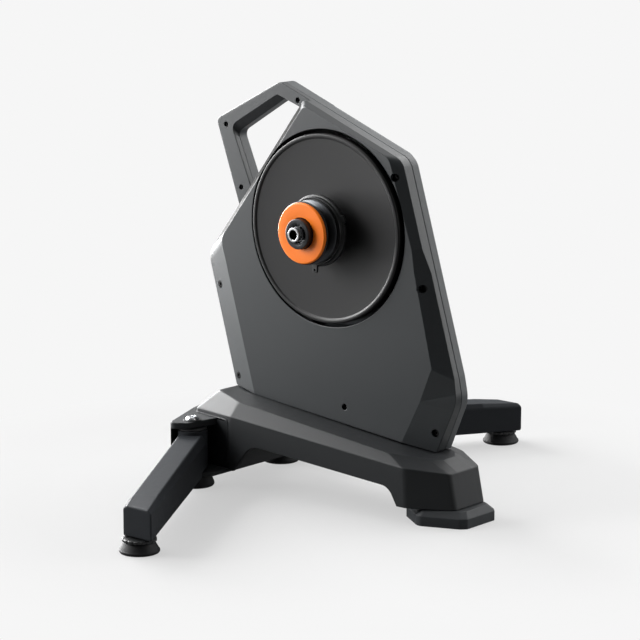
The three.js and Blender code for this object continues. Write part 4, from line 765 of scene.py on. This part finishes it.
# The lock nut's rim waves in and out: radius = nut radius - depth * cos^8 of half the grip angle.
def lockNut(name, centre):
    angle = np.linspace(0, 2 * math.pi, 192, endpoint=False)
    wave = foot["gripDepth"] * np.cos(angle * foot["grips"] / 2) ** 8
    low = foot["height"] + 0.3
    high = low + foot["nutHeight"]
    levels = [(5.4, low), (1, low, 0.8), (1, low + 0.5, 0), (1, high - 0.5, 0), (1, high, 0.8), (5.4, high)]
    columns = [np.stack([np.full(len(angle), 5.4) if len(level) == 2 else foot["nut"] - wave - level[2],
        np.full(len(angle), level[1])], 1) for level in levels]
    line = np.stack(columns, 1)
    points = np.stack([line[..., 0] * np.cos(angle)[:, None], line[..., 0] * np.sin(angle)[:, None], line[..., 1]],
        -1) + np.asarray(centre, float)
    return makeMesh(name, points.reshape(-1, 3), gridFaces(len(angle), len(levels), True).tolist())


for label, side in (("drive", -1), ("idle", 1)):
    centre = (footX, side * footY, 0)
    h = foot["height"]
    line = [(22.8, 0, 1.2), (24.0, 1.8, 0.9), (23.9, 3.6, 0.5), (23.0, 4.4, 0.4), (18.3, h - 0.6, 0.8),
        (17.4, h, 0.4), (5, h, 0.2), (5, 32.4, 0.4)]
    rubberFoot = turned(f"{label}_levelling_foot", [(0, 0, 0), *line, (0, 32.4, 0)], centre, 2, 96)
    dress(rubberFoot, f"{label}_side_foot", finishes["rubber"], [f"{label}_leg_foot"])
    dress(lockNut(f"{label}_lock_nut", centre), f"{label}_side_foot", finishes["black_plastic"],
        [f"{label}_leg_nut"])
print("legs made")

hubAt = (0, 0, axleZ)
hub = {
    # profiles of (radius, y, rounding)
    "disc": [(9.4, -8.5, 0.2), (24, -8.5, 1.0), (28, -4.4, 3.0), (111.5, -7.4, 1.2), (113.2, -8.7, 0.9),
        (114.4, -9, 0.8), (116.6, -9, 1.2),
             (118, -7.2, 1.4), (118, 0.2, 0.3), (108, 0.2, 0.3), (108, 12, 0.6), (104, 12, 0.6), (104, -3.4,
                 1.0), (28, -0.4, 2.0),
             (24, 12, 0.8), (17.9, 12, 0.2), (17.9, 2.7, 0.2), (9.4, 2.7, 0.2)],
    "clickRing": [(21.3, -27.4, 0.4), (36.4, -27.4, 0.3), (37.0, -28, 0.4), (38.6, -28, 0.4), (39.2, -27.0, 0.3),
        (40.4, -27.0, 0.3),
                  (40.9, -28, 0.3), (41.6, -28, 0.5), (42, -26.8, 0.6), (42, -24.0, 0.8), (43.6, -23.5, 0.6), (44.6, -22.6, 0.6),
                  (44.6, -19, 0.5), (21.3, -19, 0.4)],
    "innerGuard": [(21.3, -35.5, 0.3), (33.0, -35.5, 0.6), (38.8, -33.2, 0.8), (39.6, -32.2, 0.6), (39.6, -31, 0.4),
        (21.3, -31, 0.3)],
    "outerGuard": [(21.3, -49, 0.2), (38.0, -49, 0.5), (39.2, -48.0, 0.8), (39.2, -47.2, 0.6), (35.6, -46, 0.8),
        (21.3, -46, 0.3)],
    "cover": [(19.6, -52.3, 0.5), (36.4, -52.5, 1.2), (37.8, -51.3, 0.9), (37.8, -49.3, 0.2), (19.6, -49.3, 0.2)],
    "sleeve": [(16.95, -47.4, 0.3), (21, -47.4, 0.4), (21, -18.5, 0.4), (16.95, -18.5, 0.3)],
    "nearCap": [(6.2, -67.2, 0.5), (8.4, -67.2, 0.5), (8.9, -66.5, 0.4), (8.9, -60.4, 0.2), (9.2, -60.2, 0.2),
        (9.2, -58.3, 0.2), (6.2, -58.3, 0.2)],
    "farCap": [(6.2, 67.2, 0.5), (8.4, 67.2, 0.5), (8.9, 66.5, 0.4), (8.9, 60.4, 0.2), (18.5, 60.2, 0.6),
        (18.5, 58.3, 0.3), (6.2, 58.3, 0.2)],
    "axle": [(6.2, -58, 0.2), (8.5, -58, 0.2), (8.5, 58, 0.2), (6.2, 58, 0.2)],
}
beltDisc = turned("belt_disc_face", hub["disc"], hubAt, 1, 256, 4)
dress(beltDisc, "disc", finishes["disc"], ["belt_disc"], 35)
# The disc's rim wall inside the gap is painted near-black as shade.
lineFaces(beltDisc, paintedShadeBlack, 117.4, 119, -6.6)

hubPieces = [  # piece, body, slot, node and profile
    ("inner_guard_ring", "cog_carrier", "dark_steel", "inner_guard", "innerGuard"),
    ("outer_guard_ring", "cog_carrier", "black_plastic", "outer_guard", "outerGuard"),
    ("orange_cover_ring", "cog_carrier", "orange", "guard_cover", "cover"), ("guard_sleeve", "freehub",
        "black_plastic", "cog_sleeve", "sleeve"),
    ("near_axle_cap", "frame", "steel", "drive_end_cap", "nearCap"), ("far_axle_cap", "frame", "steel", "idle_end_cap", "farCap"),
    ("hollow_axle", "frame", "steel", "axle_tube", "axle"),
]
for name, body, slot, node, profile in hubPieces:
    piece = turned(name, hub[profile], hubAt, 1, 160)
    dress(piece, body, finishes[slot], [node], 35)
    if slot == "steel":
        # The bore inside the axle and its caps is painted near-black as shade.
        lineFaces(piece, paintedShadeBlack, 0, 6.6, -66.8)

# The click ring has a lobe on its flange and a tab with a hole below.
clickRing = {"lobeAngle": 23.6, "lobeReach": 47.2, "tabDrop": 52.5, "hole": 1.7, "holeDrop": 49.0}
ringBody = turned("click_ring_body", hub["clickRing"], hubAt, 1, 160)
lobeTurn = math.radians(clickRing["lobeAngle"])
across, out = np.array([-math.sin(lobeTurn), math.cos(lobeTurn)]), np.array([math.cos(lobeTurn), math.sin(lobeTurn)])
reach, drop = clickRing["lobeReach"], clickRing["tabDrop"]
lobe = np.array([out * 40 - across * 6.2, out * reach - across * 4.4, out * reach + across * 4.4, out * 40 + across * 6.2]) + lift
tab = np.array([(-4.4, -36), (-3.4, -drop), (3.4, -drop), (4.4, -36)]) + lift
ringBody = combine(ringBody, [prism("lobe", lobe, [1, 2, 2, 1], -23.4, -19.1, 1, (0.6, 0.6)),
                              prism("tab", tab, [1, 3, 3, 1], -26.8, -23.6, 1, (0.6, 0.6))], "UNION")
tabHole = turned("tabHole", [(0, -40, 0), (clickRing["hole"], -40, 0), (clickRing["hole"], -10, 0), (0, -10, 0)],
                 (0, 0, axleZ - clickRing["holeDrop"]), 1, 32, 1)
ringBore = turned("ringBore", [(0, -40, 0), (21.3, -40, 0), (21.3, -10, 0), (0, -10, 0)], hubAt, 1, 160, 1)
ringBody = combine(ringBody, [tabHole, ringBore])
dress(ringBody, "adjuster", finishes["black_plastic"], ["adjuster_ring"], 32, True)

# The lock ring: a turned ring whose bore carries small tool teeth, radius = tool radius - depth * tooth wave
ring = {"radius": 18.7, "front": -60.2, "back": -51.3, "tool": 12.6, "teeth": 16, "depth": 1.3}
angle = np.linspace(0, 2 * math.pi, 16 * 12, endpoint=False)
wave = ring["depth"] * (0.5 + 0.5 * np.tanh(4 * np.cos(angle * ring["teeth"])))
corners = [(0, ring["front"] + 1.4), (0, ring["back"]), (ring["radius"], ring["back"]), (ring["radius"], ring["front"]),
           (13.8, ring["front"]), (13.2, ring["front"] + 1.4)]
profile = rounded(np.array(corners), [0.2, 0.2, 0.4, 1.3, 0.4, 0.3], 4)
inward = (profile[:, 0] < 5)[None, :]
radii = np.where(inward, ring["tool"] - wave[:, None] + profile[None, :, 0] * 0, profile[None, :, 0])
points = np.stack([radii * np.cos(angle)[:, None], np.broadcast_to(profile[:, 1], radii.shape),
    radii * np.sin(angle)[:, None]], -1) + hubAt
lockRing = makeMesh("toothed_lock_ring", points.reshape(-1, 3), gridFaces(len(angle), len(profile), True).tolist())
lockFinish = latheMaterial("lockRingFinish", (40, 41, 43), (52, 53, 55), None, 0.36, 0.1, 2200, 0.05, metallic=0.6)
dress(lockRing, "freehub", lockFinish, ["lockring"], 35)
print("hub made")

view = {"target": (-14.12, 0.0, 217.95), "place": (2210.3, -2617.0, 911.1), "focal": 2818.0}
cameraData = bpy.data.cameras.new("camera")
camera = bpy.data.objects.new("camera", cameraData)
bpy.context.scene.collection.objects.link(camera)
place = Vector([(view["place"][0] + originX) / 1000, view["place"][1] / 1000, view["place"][2] / 1000])
target = Vector([(view["target"][0] + originX) / 1000, 0, view["target"][2] / 1000])
camera.location = place
camera.rotation_mode = "QUATERNION"
camera.rotation_quaternion = (target - place).to_track_quat("-Z", "Y")
cameraData.sensor_width = 36
cameraData.lens = view["focal"] / 640 * 36
cameraData.clip_start, cameraData.clip_end = 0.1, 60
bpy.context.scene.camera = camera

studio = {
    "background": 0.922, "floorTone": 0.4, "floorSlope": (0.335, -0.056,
        0.0), "shadowShare": 0.45, "fadeFrom": 0.38, "fadeTo": 0.62, "floorSize": 20, "floorBounce": (0.08, 0.9),
    "roomFront": 0.015, "roomBack": 0.36, "dimHeading": (0.35, -0.93, 0.0), "paleHeading": (-1.0, 0.1, 0.0), "glossShare": 0.05,
}


# How far a ray sees the plain background: fully from the camera and through glass, and partly in gloss.
def seenShare(tree):
    rays = tree.nodes.new("ShaderNodeLightPath")
    direct = mathNode(tree, "MAXIMUM", rays.outputs["Is Camera Ray"], rays.outputs["Is Transmission Ray"])
    return mathNode(tree, "MAXIMUM", direct, mathNode(tree, "MULTIPLY", rays.outputs["Is Glossy Ray"], studio["glossShare"]))


size = studio["floorSize"]
floorMesh = bpy.data.meshes.new("studio_floor")
floorMesh.from_pydata([(-size, -size, 0), (size, -size, 0), (size, size, 0), (-size, size, 0)], [], [(0, 1, 2, 3)])
floor = bpy.data.objects.new("studio_floor", floorMesh)
bpy.context.scene.collection.objects.link(floor)
floorMaterial, tree, shader, where = newMaterial("floorWhite", specular=0.0)
shader.inputs["Roughness"].default_value = 0.9
# The floor is darker toward the near panels, so that it comes out evenly pale.
slope = tree.nodes.new("ShaderNodeVectorMath")
slope.operation = "DOT_PRODUCT"
slope.inputs[1].default_value = studio["floorSlope"]
tree.links.new(where.outputs["Object"], slope.inputs[0])
tree.links.new(mathNode(tree, "ADD", slope.outputs["Value"], studio["floorTone"]), shader.inputs["Base Color"])
# Away from the object the floor turns into the background's own colour, and gives back less light.
far = tree.nodes.new("ShaderNodeVectorMath")
far.operation = "LENGTH"
tree.links.new(where.outputs["Object"], far.inputs[0])
fade = tree.nodes.new("ShaderNodeMapRange")
fade.interpolation_type = "SMOOTHSTEP"
fade.inputs["From Min"].default_value, fade.inputs["From Max"].default_value = studio["fadeFrom"], studio["fadeTo"]
fade.inputs["To Min"].default_value = 1 - studio["shadowShare"]
tree.links.new(far.outputs["Value"], fade.inputs["Value"])
plain = tree.nodes.new("ShaderNodeEmission")
plain.inputs["Color"].default_value = (studio["background"],) * 3 + (1,)
blend = tree.nodes.new("ShaderNodeMixShader")
# What the far floor gives back rises from the camera's side to the left rear.
side = tree.nodes.new("ShaderNodeVectorMath")
side.operation = "DOT_PRODUCT"
side.inputs[1].default_value = studio["paleHeading"]
tree.links.new(where.outputs["Object"], side.inputs[0])
bounce = tree.nodes.new("ShaderNodeMapRange")
bounce.interpolation_type = "SMOOTHSTEP"
for label, value in zip(("From Min", "From Max", "To Min", "To Max"), (0.1, 0.8, *studio["floorBounce"])):
    bounce.inputs[label].default_value = value
tree.links.new(side.outputs["Value"], bounce.inputs["Value"])
tree.links.new(mathNode(tree, "MAXIMUM", seenShare(tree), bounce.outputs["Result"]), plain.inputs["Strength"])
tree.links.new(fade.outputs["Result"], blend.inputs[0])
tree.links.new(shader.outputs[0], blend.inputs[1])
tree.links.new(plain.outputs[0], blend.inputs[2])
tree.links.new(blend.outputs[0], tree.nodes["Material Output"].inputs["Surface"])
floorMesh.materials.append(floorMaterial)

# The world is a pale room that is dim on the camera's side, and for the camera it is the plain background.
world = bpy.data.worlds.new("studio")
bpy.context.scene.world = world
world.use_nodes = True
worldTree = world.node_tree
room = worldTree.nodes["Background"]
room.inputs["Color"].default_value = (1, 1, 1, 1)
around = worldTree.nodes.new("ShaderNodeTexCoord")
heading = worldTree.nodes.new("ShaderNodeVectorMath")
heading.operation = "DOT_PRODUCT"
worldTree.links.new(around.outputs["Generated"], heading.inputs[0])
heading.inputs[1].default_value = studio["dimHeading"]
dim = worldTree.nodes.new("ShaderNodeMapRange")
dim.interpolation_type = "SMOOTHSTEP"
for label, value in (("From Min", -0.25), ("From Max", 0.75), ("To Min", studio["roomBack"]), ("To Max", studio["roomFront"])):
    dim.inputs[label].default_value = value
worldTree.links.new(heading.outputs["Value"], dim.inputs["Value"])
worldTree.links.new(dim.outputs["Result"], room.inputs["Strength"])
backdrop = worldTree.nodes.new("ShaderNodeBackground")
backdrop.inputs["Color"].default_value = (studio["background"],) * 3 + (1,)
blend = worldTree.nodes.new("ShaderNodeMixShader")
worldTree.links.new(seenShare(worldTree), blend.inputs[0])
worldTree.links.new(room.outputs[0], blend.inputs[1])
worldTree.links.new(backdrop.outputs[0], blend.inputs[2])
worldTree.links.new(blend.outputs[0], worldTree.nodes["World Output"].inputs["Surface"])


def softBox(name, place, aim, size, power):
    lightData = bpy.data.lights.new(name, "AREA")
    lightData.shape, lightData.size, lightData.size_y = "RECTANGLE", size[0], size[1]
    lightData.energy = power
    light = bpy.data.objects.new(name, lightData)
    bpy.context.scene.collection.objects.link(light)
    light.visible_camera = False
    light.location = place
    light.rotation_mode = "QUATERNION"
    light.rotation_quaternion = (Vector(aim) - Vector(place)).to_track_quat("-Z", "Y")


softBoxes = {
    # place, aim, size and power
    "topBox": ((-0.4, 0.4, 2.2), (0, 0, 0.1), (2.2, 2.2), 18),
    "frontLeftBox": ((-1.9, -1.7, 1.4), (0, 0, 0.3), (1.2, 1.4), 64),
    "upperLeftBox": ((-1.5, -0.7, 1.8), (0, 0, 0.25), (1.2, 1.2), 4),
    "highBackBox": ((0.2, 1.8, 1.6), (0, 0, 0.3), (2.0, 1.0), 30),
    "leftPanel": ((-1.45, 0.2, 0.6), (0, 0, 0.35), (0.9, 1.1), 70),
    "leftStrip": ((-1.2, -0.5, 0.55), (0, 0, 0.2), (0.5, 1.0), 12),
    "rearRightBox": ((1.6, 1.9, 0.9), (0, 0, 0.3), (1.5, 1.6), 20),
    "rightBox": ((2.2, 0.3, 0.7), (0, 0, 0.2), (0.8, 0.8), 5),
}
for name, values in softBoxes.items():
    softBox(name, *values)

bpy.context.scene.view_settings.view_transform = "Standard"
print("stage made")
